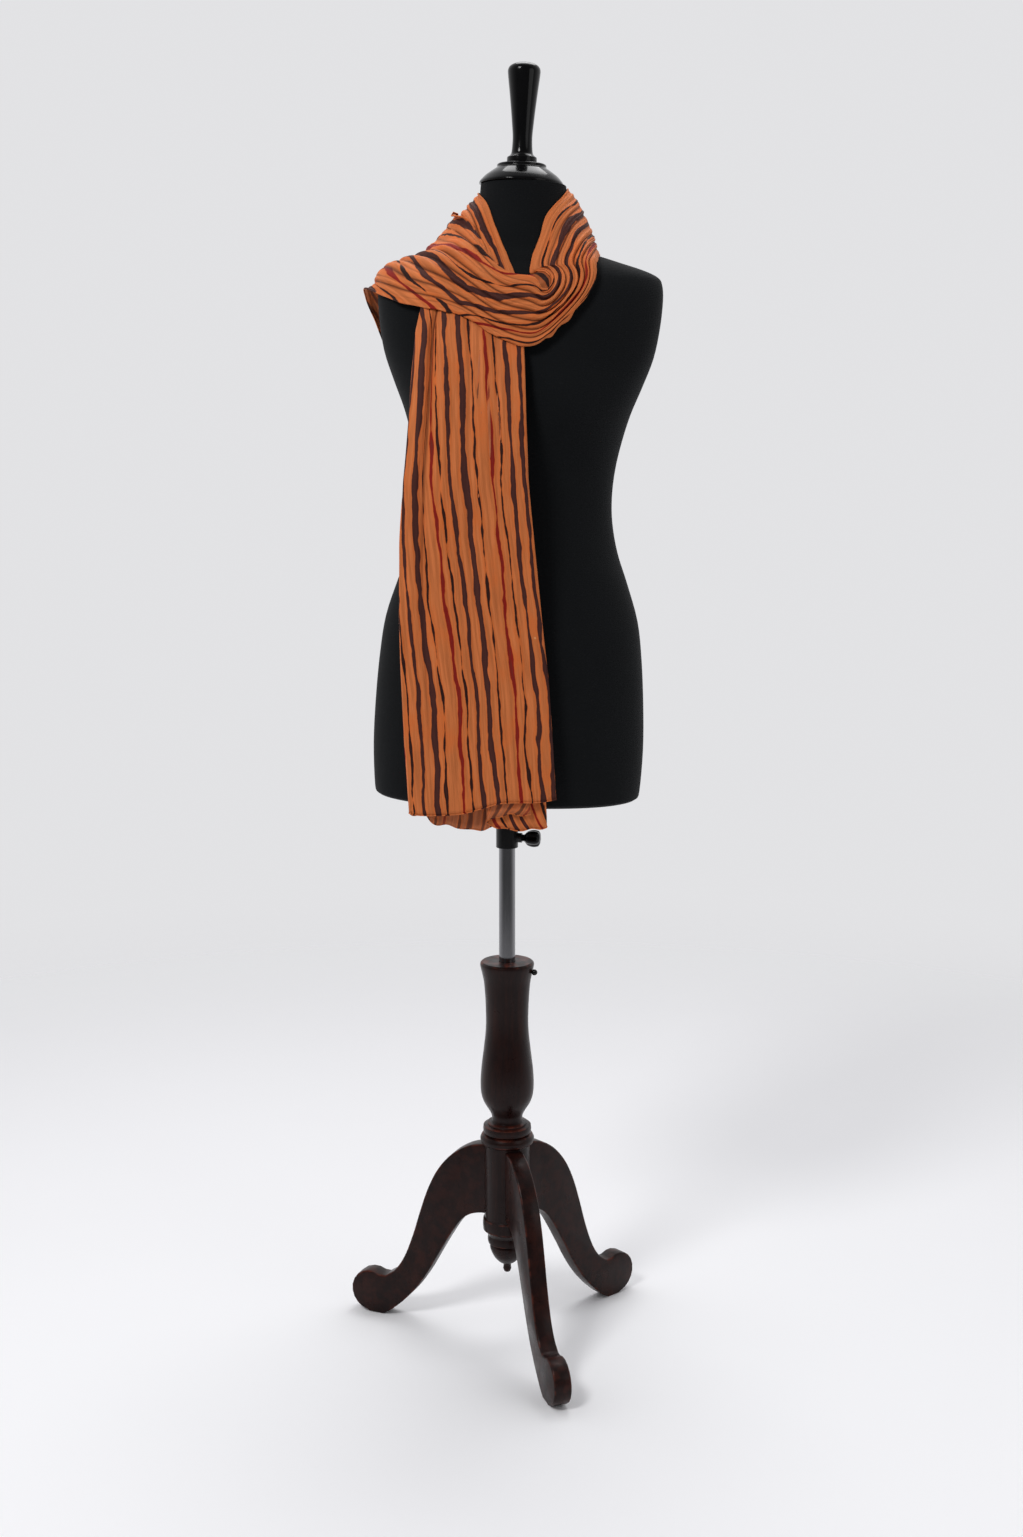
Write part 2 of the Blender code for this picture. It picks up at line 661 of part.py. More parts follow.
def crease_shares():
    """Places of the wall's points across the strip: three at each crease and one on each fold."""
    shares = []
    for k, (share, steep, gentle, *_) in enumerate(CREASES):
        shares += [share - steep, share, share + 0.6 * gentle]
        if k:
            before = CREASES[k - 1]
            shares.append(0.5 * (before[0] + 0.6 * before[2] + share - steep))
    return np.array(sorted(s for s in shares if 0.0 <= s <= 1.0))


def crease_drop(shares, place):
    """How far the strip's surface drops into its creases at these shares of one section."""
    opened = np.clip((place - CREASE_PLACES[-2]) / CREASE_OPENING, 0.0, 1.0)
    spread = 1.0 + (CREASE_SPREAD - 1.0) * opened
    drop = np.zeros(len(shares))
    for share, steep, gentle, *depths in CREASES:
        side = np.where(shares < share, steep * spread, gentle * spread)
        near = np.clip(1.0 - np.abs(shares - share) / side, 0.0, 1.0)
        drop = np.maximum(drop, 0.001 * np.interp(place, CREASE_PLACES, depths) * near**1.4)
    return drop


def strip_base(tree, places, shares):
    """The strip before it is creased: one row of points for each place along it."""
    sections = between(STOLE_SECTIONS, places)
    grid = np.empty((len(places), len(shares), 3))
    for i, section in enumerate(sections):
        drift = 4.0 * shares * (1.0 - shares) * np.sin(0.8 * places[i] + 7.0 * shares)
        moved = (shares + STOLE_DRIFT * drift)[:, None]
        grid[i] = section[0:3] * (1.0 - moved) + section[3:6] * moved
    belly = sections[:, 6:7] * (1.0 - np.abs(2.0 * shares - 1.0) ** BELLY_FULLNESS)
    grid += outward(grid)[0] * belly[:, :, None]
    snug = np.interp(places, SNUG_PLACES, (0.0, 1.0))
    for i, place in enumerate(places):
        room = crease_drop(shares, place).max()
        grid[i] = lay_over_form(tree, grid[i], shares, belly[i], snug[i], room)
    eased = grid[1:-1] + STOLE_EASE * (grid[:-2] + grid[2:] - 2.0 * grid[1:-1])
    eased[:, (0, -1)] = grid[1:-1, (0, -1)]
    grid[1:-1] = eased
    return grid


def fall_row(down, heights, shares):
    """One level of the front fall's front layer, carried round its other layers."""
    levels = np.array(FALL_LEVELS)[::-1]
    left, right, middle, left_back, right_back = (
        np.interp(heights, levels[:, 0], levels[:, k]) for k in range(1, 6)
    )
    rise = np.zeros(len(shares))
    for share, half_width, *rises in FALL_FOLDS:
        near = np.clip(np.abs(shares - share) / half_width, 0.0, 1.0)
        rise += np.interp(down, (0.0, 0.4, 1.0), rises) * 0.5 * (1.0 + np.cos(math.pi * near))
    back = np.where(shares > 0.5, left_back, right_back)
    y = middle + back * np.abs(2.0 * shares - 1.0) ** 3 - rise
    return np.column_stack([right + (left - right) * shares, y, heights])


def fall_points(top, top_shares, shares, depths, hems):
    """The front fall's surface: rows from its hem up to its seam with the strip, across its layers."""
    seam = np.column_stack([np.interp(shares, top_shares, top[:, k]) for k in range(3)])
    seam[:, 2] -= UNDER_LAYER_DROP * np.minimum(depths / FALL_LAYERS[FALL_FRONT_ROWS][1], 1.0)
    off = seam - fall_row(0.0, seam[:, 2], shares)
    downs = np.linspace(1.0, 0.0, FALL_SPANS + 1)
    grid = np.empty((len(downs), len(shares), 3))
    for i, down in enumerate(downs):
        grid[i] = fall_row(down, seam[:, 2] * (1.0 - down) + hems * down, shares)
        grid[i] += off * max(1.0 - down / FALL_SEAM_REACH, 0.0) ** 2
        grid[i, :, 1] += depths * (FALL_DEPTH_TOP + (FALL_DEPTH_HEM - FALL_DEPTH_TOP) * down)
    return grid


def grid_tree(*grids):
    """A search tree over grids of points, with its faces turned out."""
    points = []
    faces = []
    for grid in grids:
        rows, columns = grid.shape[:2]
        for i, j in np.ndindex(rows - 1, columns - 1):
            corner = len(points) + i * columns + j
            faces.append((corner, corner + columns, corner + columns + 1, corner + 1))
        points += [Vector(point) for point in grid.reshape(-1, 3)]
    return BVHTree.FromPolygons(points, faces)


def share_seam(one, one_shares, other, other_shares):
    """Gives two rows of directions that meet at a seam the mean of the two."""
    before = one.copy()
    for k in range(3):
        one[:, k] += np.interp(one_shares, other_shares, other[:, k])
        other[:, k] += np.interp(other_shares, one_shares, before[:, k])
    one *= 0.5
    other *= 0.5


def add_cloth(name, grid, half, ends, parent):
    """A wall of cloth: a flat grid moved onto the inside of its surface, then extruded to the outside.

    ends holds the strip's directions along the first and last row, where it stops short of its neighbour.
    """
    rows, columns = grid.shape[:2]
    grid = grid.copy()
    grid[0] += ends[0] * (0.5 * GAP)
    grid[-1] -= ends[1] * (0.5 * GAP)
    bm = bmesh.new()
    bmesh.ops.create_grid(bm, x_segments=columns - 1, y_segments=rows - 1, size=0.5)
    grown = bmesh.ops.extrude_face_region(bm, geom=bm.faces[:])["geom"]
    outer = {g for g in grown if isinstance(g, bmesh.types.BMVert)}
    for vert in bm.verts:
        at = round((vert.co.y + 0.5) * (rows - 1)), round((vert.co.x + 0.5) * (columns - 1))
        vert.co = grid[at] + (half[at] if vert in outer else -half[at])
    bmesh.ops.recalc_face_normals(bm, faces=bm.faces)
    if bm.calc_volume(signed=True) < 0.0:
        bmesh.ops.reverse_faces(bm, faces=bm.faces)
    return add_object(name, bm, "chiffon", parent)


def make_stole(parent, torso):
    """Works out the strip in one go, so that two neighbouring stretches share the section at their seam."""
    shares = crease_shares()
    runs = [np.linspace(first, last, spans + 1) for first, last, spans in STRETCHES.values()]
    places = np.concatenate([runs[0][:1]] + [run[1:] for run in runs])
    strip = strip_base(torso, places, shares)
    drops = np.array([crease_drop(shares, place) for place in places])
    for at, drop in np.ndenumerate(drops):
        drops[at] = min(drop, max(lift_of(torso, strip[at])[0] - CREASE_FLOOR, 0.0))
    creased = strip - outward(strip)[0] * drops[:, :, None]
    layers = smooth_curve(FALL_LAYERS, 2)
    fall = fall_points(creased[0], shares, *layers.T)
    under = places <= STRETCHES["stole_neck_back"][1]
    over = (places >= STRETCHES["stole_swath"][0]) & (places <= STRETCHES["stole_shoulder"][1])
    front = slice(0, 2 * FALL_FRONT_ROWS)
    cloth = grid_tree(creased[under], fall[:, front])
    strip[over] = lay_over_cloth(cloth, strip[over], drops[over])
    strip -= outward(strip)[0] * drops[:, :, None]
    strip[over] = clear_between(cloth, strip[over], CLOTH_CLEAR)
    strip = clear_between(torso, strip, CREASE_FLOOR)
    strip[under] = creased[under]
    half = outward(strip)[0] * outward(strip)[1] * (0.5 * CLOTH)
    ways = along(strip)
    fall_half = outward(fall)[0] * outward(fall)[1] * (0.5 * CLOTH)
    fall_ways = along(fall)
    for strip_side, fall_side in ((half, fall_half), (ways, fall_ways)):
        share_seam(strip_side[0], shares, fall_side[-1, front], layers[front, 0])
    add_cloth("stole_front_fall", fall, fall_half, fall_ways[[0, -1]], parent)
    row = 0
    for name, run in zip(STRETCHES, runs):
        rows = slice(row, row + len(run))
        add_cloth(name, strip[rows], half[rows], ways[[row, row + len(run) - 1]], parent)
        row += len(run) - 1


# Stand


def make_socket(parent):
    """The collar that seats the torso on the pole, with its plate planed to the torso's lean."""
    plate_top = TORSO_BASE - GAP
    tilt = math.tan(TORSO_LEAN)
    plate_bottom = plate_top - SOCKET_PLATE
    bm = turned(
        (
            (0.0, plate_top),
            (SOCKET_PLATE_RADIUS, plate_top),
            (SOCKET_PLATE_RADIUS, plate_bottom),
            (SOCKET_RADIUS, plate_bottom),
            (SOCKET_RADIUS, SOCKET_BOTTOM),
            (BORE_RADIUS, SOCKET_BOTTOM),
            (BORE_RADIUS, POLE_TOP + GAP),
            (0.0, POLE_TOP + GAP),
        )
    )
    for vert in bm.verts:
        if vert.co.z > plate_top - GAP:
            vert.co.z -= (vert.co.x - TORSO_LEAN_X) * tilt
    socket = add_object("socket", bm, "black_metal", parent)
    along = Matrix.Rotation(KNOB_TURN, 4, "Z") @ Matrix.Rotation(math.radians(90.0), 4, "Y")
    boss = turned(
        (
            (0.0, SOCKET_BOSS_REACH),
            (SOCKET_BOSS_RADIUS, SOCKET_BOSS_REACH),
            (SOCKET_BOSS_RADIUS, SOCKET_RADIUS - 0.0020),
            (0.0, SOCKET_RADIUS - 0.0020),
        ),
        16,
    )
    boss_tool = add_object("socket_boss", boss, "black_metal", parent)
    boss_tool.matrix_local = Matrix.Translation((0.0, 0.0, KNOB_HEIGHT)) @ along
    boss_tool.hide_render = True
    boss_tool.display_type = "WIRE"
    join = socket.modifiers.new("boss", "BOOLEAN")
    join.operation = "UNION"
    join.solver = "EXACT"
    join.object = boss_tool
    hole = add_object(
        "socket_thread",
        turned(
            (
                (0.0, SOCKET_BOSS_REACH + 0.0100),
                (KNOB_SHANK_RADIUS + GAP, SOCKET_BOSS_REACH + 0.0100),
                (KNOB_SHANK_RADIUS + GAP, POLE_RADIUS - 0.0020),
                (0.0, POLE_RADIUS - 0.0020),
            ),
            12,
        ),
        "black_metal",
        parent,
    )
    hole.matrix_local = Matrix.Translation((0.0, 0.0, KNOB_HEIGHT)) @ along
    cut_away(socket, hole, "thread")
    knob_bm = turned(KNOB_PROFILE, 15)
    for vert in knob_bm.verts:
        radius = math.hypot(vert.co.x, vert.co.y)
        if radius > KNOB_SHANK_RADIUS + 0.0020:
            swing = math.atan2(vert.co.y, vert.co.x)
            grow = 1.0 + KNOB_LOBE_DEPTH * math.cos(KNOB_LOBES * swing)
            vert.co.x *= grow
            vert.co.y *= grow
    knob = add_object("socket_knob", knob_bm, "black_lacquer", parent)
    knob.matrix_local = Matrix.Translation((0.0, 0.0, KNOB_HEIGHT)) @ along


def make_column(parent):
    inner = ((BORE_RADIUS, COLUMN_BORE_BOTTOM), (BORE_RADIUS, COLUMN_PROFILE[0][1]))
    base = COLUMN_PROFILE[-1][1]
    bm = turned(
        ((BORE_RADIUS, COLUMN_PROFILE[0][1]),)
        + COLUMN_PROFILE
        + ((0.0, base), (0.0, COLUMN_BORE_BOTTOM), inner[0], inner[1])
    )
    column = add_object("column", bm, "mahogany", parent)
    along = Matrix.Rotation(SCREW_TURN, 4, "Z") @ Matrix.Rotation(math.radians(90.0), 4, "Y")
    hole = add_object(
        "screw_hole",
        turned(
            (
                (0.0, 0.0500),
                (SCREW_SHANK_RADIUS + GAP, 0.0500),
                (SCREW_SHANK_RADIUS + GAP, POLE_RADIUS - 0.0020),
                (0.0, POLE_RADIUS - 0.0020),
            ),
            12,
        ),
        "black_metal",
        parent,
    )
    hole.matrix_local = Matrix.Translation((0.0, 0.0, SCREW_HEIGHT)) @ along
    cut_away(column, hole, "screw_hole")
    screw = add_object("column_screw", turned(SCREW_PROFILE, 12), "black_metal", parent)
    screw.matrix_local = Matrix.Translation((0.0, 0.0, SCREW_HEIGHT)) @ along
    add_object("column_drop", turned(DROP_PROFILE, 16), "mahogany", parent)


def leg_outline():
    """The sawn outline of one leg in its own plane: top edge, scroll foot, underside."""
    top = smooth_curve(LEG_TOP_EDGE, 2)
    start, end = (math.radians(a) for a in LEG_SCROLL_ARC)
    turns = np.linspace(start, end, LEG_SCROLL_STEPS)
    scroll = np.column_stack(
        [
            LEG_SCROLL_CENTRE[0] + LEG_SCROLL_RADIUS * np.cos(turns),
            LEG_SCROLL_CENTRE[1] + LEG_SCROLL_RADIUS * np.sin(turns),
        ]
    )
    under = np.vstack([LEG_UNDER_EDGE[0], smooth_curve(LEG_UNDER_EDGE[1:], 2)])
    return np.vstack([top, scroll, under])


def make_leg(name, angle, seat, parent):
    bm = bmesh.new()
    half = LEG_THICKNESS / 2.0
    verts = [bm.verts.new((reach, -half, height)) for reach, height in leg_outline()]
    face = bm.faces.new(verts)
    grown = bmesh.ops.extrude_face_region(bm, geom=[face])["geom"]
    moved = [g for g in grown if isinstance(g, bmesh.types.BMVert)]
    bmesh.ops.translate(bm, verts=moved, vec=(0.0, LEG_THICKNESS, 0.0))
    bmesh.ops.recalc_face_normals(bm, faces=bm.faces)
    rims = [e for e in bm.edges if abs(e.verts[0].co.y - e.verts[1].co.y) < 1e-9]
    bmesh.ops.bevel(
        bm, geom=rims, offset=LEG_EDGE, affect="EDGES", segments=1, profile=0.5, material=-1
    )
    leg = add_object(name, bm, "mahogany", parent)
    leg.rotation_euler = (0.0, 0.0, math.radians(angle - 90.0))
    cut_away(leg, seat, "seat")


def make_stand(parent):
    make_column(parent)
    seat = add_object(
        "leg_seat",
        turned(
            ((0.0, 0.32), (LEG_SEAT_RADIUS, 0.32), (LEG_SEAT_RADIUS, 0.12), (0.0, 0.12)), 48
        ),
        "mahogany",
        parent,
    )
    for name, angle in LEG_ANGLES.items():
        make_leg(name, angle, seat, parent)


def make_pole(parent):
    bm = turned(
        ((0.0, POLE_TOP), (POLE_RADIUS, POLE_TOP), (POLE_RADIUS, POLE_BOTTOM), (0.0, POLE_BOTTOM))
    )
    add_object("pole", bm, "steel", parent)


def main():
    clear_scene()
    stand_axis = add_axis("stand_axis", (*STAND_AXIS, 0.0))
    make_stand(stand_axis)
    pole_axis = add_axis("pole_axis", parent=stand_axis)
    make_pole(pole_axis)
    figure_axis = add_axis("figure_axis", parent=pole_axis)
    make_socket(figure_axis)
    make_form(figure_axis)
    make_stole(figure_axis, BVHTree.FromBMesh(torso_body()))


main()
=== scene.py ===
"""Striped chiffon stole on a dress form with a tripod stand: looks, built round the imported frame.

Tables are in metres about the stand's own axis, as in the part's source. STAND_AXIS moves the finished
pieces into the frame. Left and right are the wearer's.
"""

import math

import bmesh
import bpy
import numpy as np
from mathutils import Matrix, Vector
from mathutils.bvhtree import BVHTree


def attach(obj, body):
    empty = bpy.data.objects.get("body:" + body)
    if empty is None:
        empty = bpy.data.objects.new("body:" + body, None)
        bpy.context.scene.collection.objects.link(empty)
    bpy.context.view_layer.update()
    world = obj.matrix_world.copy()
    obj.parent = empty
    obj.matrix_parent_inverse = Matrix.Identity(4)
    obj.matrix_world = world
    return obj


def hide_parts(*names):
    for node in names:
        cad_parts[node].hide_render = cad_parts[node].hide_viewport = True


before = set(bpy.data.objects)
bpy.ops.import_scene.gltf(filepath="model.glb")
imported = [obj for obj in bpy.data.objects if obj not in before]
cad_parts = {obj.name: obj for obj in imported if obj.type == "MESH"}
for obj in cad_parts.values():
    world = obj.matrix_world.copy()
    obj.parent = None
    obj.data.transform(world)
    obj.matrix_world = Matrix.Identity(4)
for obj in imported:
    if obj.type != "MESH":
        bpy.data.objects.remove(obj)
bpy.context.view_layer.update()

bl_info = {
    "name": "Striped chiffon stole on a dress form",
    "version": (1, 0, 0),
    "blender": (4, 5, 0),
    "location": "View3D > Sidebar > Stole",
    "description": "Builds the stole, its dress form and the turned tripod stand",
    "category": "Add Mesh",
}

# Driving dimensions
STAND_AXIS = (0.0118, 0.0321)
GAP = 0.0003  # running gap between two pieces that touch
POLE_RADIUS = 0.0110
BORE_RADIUS = POLE_RADIUS + GAP
POLE_BOTTOM = 0.2700
POLE_TOP = 0.7550

# The torso leans to the wearer's left about a point of its flat base.
TORSO_BASE = 0.7640
TORSO_LEAN = math.radians(1.55)
TORSO_LEAN_X = -0.0030
TORSO_SIDES = 128

# Torso rings: height, half width, depth in front, depth behind, squareness (2 is an ellipse)
TORSO_LEVELS = (
    (0.7640, 0.1640, 0.0990, 0.1070, 2.3), (0.7670, 0.1715, 0.1060, 0.1145, 2.3),
    (0.7760, 0.1755, 0.1095, 0.1190, 2.3), (0.8310, 0.1781, 0.1110, 0.1240, 2.3),
    (0.8900, 0.1762, 0.1115, 0.1260, 2.3), (0.9500, 0.1716, 0.1110, 0.1230, 2.3),
    (1.0000, 0.1645, 0.1070, 0.1150, 2.2), (1.0490, 0.1490, 0.1000, 0.1040, 2.2),
    (1.0880, 0.1352, 0.0940, 0.0950, 2.1), (1.1260, 0.1272, 0.0895, 0.0890, 2.1),
    (1.1600, 0.1254, 0.0890, 0.0870, 2.1), (1.1950, 0.1284, 0.0930, 0.0895, 2.1),
    (1.2300, 0.1355, 0.0990, 0.0950, 2.2), (1.2650, 0.1455, 0.1040, 0.1010, 2.3),
    (1.3000, 0.1592, 0.1060, 0.1060, 2.5), (1.3360, 0.1720, 0.1050, 0.1090, 2.6),
    (1.3740, 0.1787, 0.0990, 0.1080, 2.7), (1.4080, 0.1812, 0.0910, 0.1020, 2.7),
    (1.4270, 0.1795, 0.0840, 0.0960, 2.6), (1.4360, 0.1740, 0.0790, 0.0910, 2.5),
    (1.4440, 0.1560, 0.0740, 0.0850, 2.4), (1.4540, 0.1220, 0.0690, 0.0780, 2.2),
    (1.4640, 0.0900, 0.0640, 0.0720, 2.1), (1.4780, 0.0715, 0.0600, 0.0670, 2.0),
    (1.4970, 0.0610, 0.0560, 0.0620, 2.0), (1.5200, 0.0560, 0.0530, 0.0580, 2.0),
    (1.5460, 0.0540, 0.0520, 0.0560, 2.0),
)
BUST_HEIGHT = 1.2680
BUST_APART = 0.0720
BUST_FULLNESS = 0.0150
BUST_REACH = 0.0480

# Turned pieces: radius, height, from the top down
CAP_PROFILE = (
    (0.0000, 1.5710), (0.0302, 1.5710), (0.0312, 1.5700), (0.0312, 1.5675), (0.0325, 1.5660),
    (0.0378, 1.5625), (0.0455, 1.5570), (0.0505, 1.5520), (0.0530, 1.5485), (0.0530, 1.5463),
    (0.0000, 1.5463),
)
HANDLE_PROFILE = (
    (0.0000, 1.6940), (0.0060, 1.6937), (0.0120, 1.6925), (0.0178, 1.6895), (0.0204, 1.6850),
    (0.0202, 1.6780), (0.0180, 1.6600), (0.0157, 1.6400), (0.0137, 1.6200), (0.0124, 1.6030),
    (0.0134, 1.5860), (0.0160, 1.5815), (0.0188, 1.5795), (0.0190, 1.5745), (0.0183, 1.5713),
    (0.0000, 1.5713),
)
COLUMN_PROFILE = (
    (0.0340, 0.5362), (0.0360, 0.5345), (0.0362, 0.5300), (0.0322, 0.5120), (0.0306, 0.4990),
    (0.0293, 0.4780), (0.0287, 0.4560), (0.0293, 0.4380), (0.0310, 0.4215), (0.0331, 0.4040),
    (0.0352, 0.3860), (0.0363, 0.3690), (0.0360, 0.3560), (0.0343, 0.3460), (0.0308, 0.3375),
    (0.0250, 0.3280), (0.0215, 0.3210), (0.0208, 0.3150), (0.0215, 0.3110), (0.0272, 0.3100),
    (0.0272, 0.3075), (0.0324, 0.3060), (0.0329, 0.3005), (0.0322, 0.2960), (0.0300, 0.2945),
    (0.0345, 0.2930), (0.0368, 0.2880), (0.0362, 0.2825), (0.0320, 0.2785), (0.0312, 0.2760),
    (0.0312, 0.1735), (0.0330, 0.1720), (0.0336, 0.1640), (0.0330, 0.1560), (0.0300, 0.1535),
    (0.0262, 0.1475), (0.0270, 0.1420), (0.0262, 0.1365), (0.0250, 0.1360),
)
COLUMN_BORE_BOTTOM = 0.1390
DROP_PROFILE = (
    (0.0000, 0.1357), (0.0225, 0.1357), (0.0240, 0.1310), (0.0228, 0.1250), (0.0185, 0.1160),
    (0.0120, 0.1085), (0.0070, 0.1055), (0.0052, 0.1020), (0.0056, 0.0970), (0.0040, 0.0930),
    (0.0000, 0.0920),
)

# Socket under the torso, its knob and the column's small screw
SOCKET_RADIUS = 0.0147
SOCKET_BOTTOM = 0.6930
SOCKET_PLATE_RADIUS = 0.0450
SOCKET_PLATE = 0.0060
SOCKET_BOSS_RADIUS = 0.0065
SOCKET_BOSS_REACH = 0.0205
SOCKET_BOSS_START = 0.0127  # inside the collar's wall
KNOB_HEIGHT = 0.7065
KNOB_TURN = math.radians(-12.0)
KNOB_GRIP_FROM = 0.0050  # radius from which it has its lobes
KNOB_LOBES = 5
KNOB_LOBE_DEPTH = 0.10
SCREW_HEIGHT = 0.5235
SCREW_TURN = math.radians(-18.0)
# Turned along the shank: radius, distance from the pole's axis
KNOB_PROFILE = (
    (0.0000, 0.0455), (0.0060, 0.0450), (0.0098, 0.0425), (0.0108, 0.0380), (0.0106, 0.0330),
    (0.0090, 0.0280), (0.0060, 0.0250), (0.0046, 0.0235), (0.0046, 0.0208), (0.0030, 0.0208),
    (0.0030, 0.0113), (0.0000, 0.0113),
)
SCREW_PROFILE = (
    (0.0000, 0.0428), (0.0024, 0.0420), (0.0038, 0.0400), (0.0041, 0.0385), (0.0036, 0.0364),
    (0.0024, 0.0356), (0.0016, 0.0350), (0.0016, 0.0113), (0.0000, 0.0113),
)

# Tripod legs, each a flat board sawn to one outline: distance from the axis, height
LEG_ANGLES = {"leg_front": 17.8, "leg_left": 131.5, "leg_right": -112.4}
LEG_THICKNESS = 0.0236
LEG_EDGE = 0.0025
LEG_TOP_EDGE = (
    (0.0200, 0.2762), (0.0360, 0.2755), (0.0565, 0.2695), (0.0798, 0.2540), (0.1003, 0.2300),
    (0.1157, 0.2000), (0.1280, 0.1650), (0.1398, 0.1270), (0.1536, 0.0920), (0.1682, 0.0700),
    (0.1837, 0.0585),
)
LEG_SCROLL_CENTRE = (0.2065, 0.0317)
LEG_SCROLL_RADIUS = 0.0303
LEG_SCROLL_ARC = (118.0, -80.0)
LEG_SCROLL_STEPS = 12
LEG_UNDER_EDGE = (
    (0.2090, 0.0000), (0.1873, 0.0000), (0.1756, 0.0075), (0.1553, 0.0255), (0.1352, 0.0480),
    (0.1169, 0.0750), (0.1001, 0.1050), (0.0846, 0.1320), (0.0698, 0.1550), (0.0556, 0.1690),
    (0.0380, 0.1755), (0.0200, 0.1764),
)

# Stole. It is one strip of cloth, cut here into the stretches that show. The sections run across it in
# order: from the chest up the wearer's right side of the neck, behind it, down the left side, round the
# turn, across the chest, over the right shoulder and down the back.
# Inner edge x, y, z, outer edge x, y, z, belly (how far the middle stands out from the straight line)
STOLE_SECTIONS = (
    (0.0190, -0.1045, 1.3860, -0.1030, -0.0940, 1.4020, 0.0035),
    (0.0105, -0.0885, 1.4230, -0.1000, -0.0790, 1.4270, 0.0040),
    (-0.0021, -0.0680, 1.4580, -0.0965, -0.0610, 1.4480, 0.0050),
    (-0.0150, -0.0505, 1.4905, -0.0915, -0.0380, 1.4590, 0.0060),
    (-0.0270, -0.0330, 1.5200, -0.0880, -0.0190, 1.4640, 0.0060),
    (-0.0375, -0.0020, 1.5340, -0.0855, 0.0030, 1.4660, 0.0055),
    (-0.0290, 0.0330, 1.5370, -0.0800, 0.0440, 1.4590, 0.0060),
    (-0.0030, 0.0570, 1.5375, -0.0400, 0.0830, 1.4520, 0.0070),
    (0.0220, 0.0620, 1.5370, 0.0180, 0.0900, 1.4490, 0.0070),
    (0.0520, 0.0520, 1.5385, 0.0760, 0.0820, 1.4500, 0.0070),
    (0.0735, 0.0270, 1.5400, 0.1070, 0.0480, 1.4530, 0.0070),
    (0.0785, 0.0000, 1.5410, 0.1160, 0.0060, 1.4575, 0.0068),
    (0.0750, -0.0220, 1.5320, 0.1160, -0.0270, 1.4550, 0.0070),
    (0.0620, -0.0380, 1.5185, 0.1150, -0.0480, 1.4520, 0.0075),
    (0.0490, -0.0510, 1.5010, 0.1140, -0.0630, 1.4485, 0.0070),
    (0.0400, -0.0600, 1.4750, 0.1125, -0.0740, 1.4460, 0.0070),
    (0.0310, -0.0730, 1.4500, 0.1110, -0.0785, 1.4445, 0.0065),
    (0.0290, -0.0840, 1.4310, 0.1110, -0.0825, 1.4395, 0.0060),
    (0.0410, -0.0868, 1.4322, 0.1105, -0.0880, 1.4300, 0.0050),
    (0.0500, -0.0915, 1.4275, 0.1075, -0.0935, 1.4170, 0.0045),
    (0.0524, -0.0960, 1.4200, 0.0990, -0.0990, 1.4012, 0.0045),
    (0.0505, -0.1005, 1.4132, 0.0859, -0.1045, 1.3852, 0.0045),
    (0.0466, -0.1030, 1.4095, 0.0687, -0.1107, 1.3674, 0.0045),
    (0.0420, -0.1033, 1.4128, 0.0504, -0.1156, 1.3511, 0.0045),
    (0.0396, -0.1020, 1.4206, 0.0358, -0.1190, 1.3420, 0.0045),
    (0.0323, -0.0995, 1.4280, 0.0211, -0.1206, 1.3407, 0.0045),
    (0.0212, -0.0982, 1.4296, 0.0016, -0.1206, 1.3460, 0.0045),
    (0.0065, -0.0966, 1.4318, -0.0190, -0.1188, 1.3556, 0.0045),
    (-0.0082, -0.0925, 1.4397, -0.0397, -0.1156, 1.3689, 0.0045),
    (-0.0205, -0.0828, 1.4550, -0.0618, -0.1113, 1.3805, 0.0050),
    (-0.0317, -0.0700, 1.4705, -0.0863, -0.1049, 1.3869, 0.0055),
    (-0.0432, -0.0500, 1.4856, -0.1137, -0.0930, 1.3914, 0.0060),
    (-0.0555, -0.0240, 1.4985, -0.1419, -0.0715, 1.4017, 0.0010),
    (-0.0630, 0.0040, 1.5060, -0.1769, -0.0150, 1.4207, -0.0050),
    (-0.0670, 0.0300, 1.4960, -0.1800, 0.0250, 1.4120, -0.0040),
    (-0.0740, 0.0620, 1.4700, -0.1725, 0.0575, 1.3830, 0.0020),
    (-0.0730, 0.0900, 1.4400, -0.1600, 0.0835, 1.3520, 0.0040),
    (-0.0600, 0.1120, 1.3900, -0.1450, 0.1060, 1.3020, 0.0050),
    (-0.0380, 0.1240, 1.3100, -0.1270, 0.1215, 1.2380, 0.0050),
    (0.0000, 0.1290, 1.1800, -0.1180, 0.1290, 1.1400, 0.0020),
    (0.0480, 0.1360, 1.0200, -0.1280, 0.1330, 1.0000, 0.0000),
    (0.0950, 0.1440, 0.8450, -0.1370, 0.1390, 0.8380, 0.0000),
)
# Stretch: its first and last section
STRETCHES = {
    "stole_neck_right": (0, 5),
    "stole_neck_back": (5, 11),
    "stole_neck_left": (11, 21),
    "stole_swath": (21, 33),
    "stole_shoulder": (33, 36),
    "stole_back_fall": (36, 41),
}
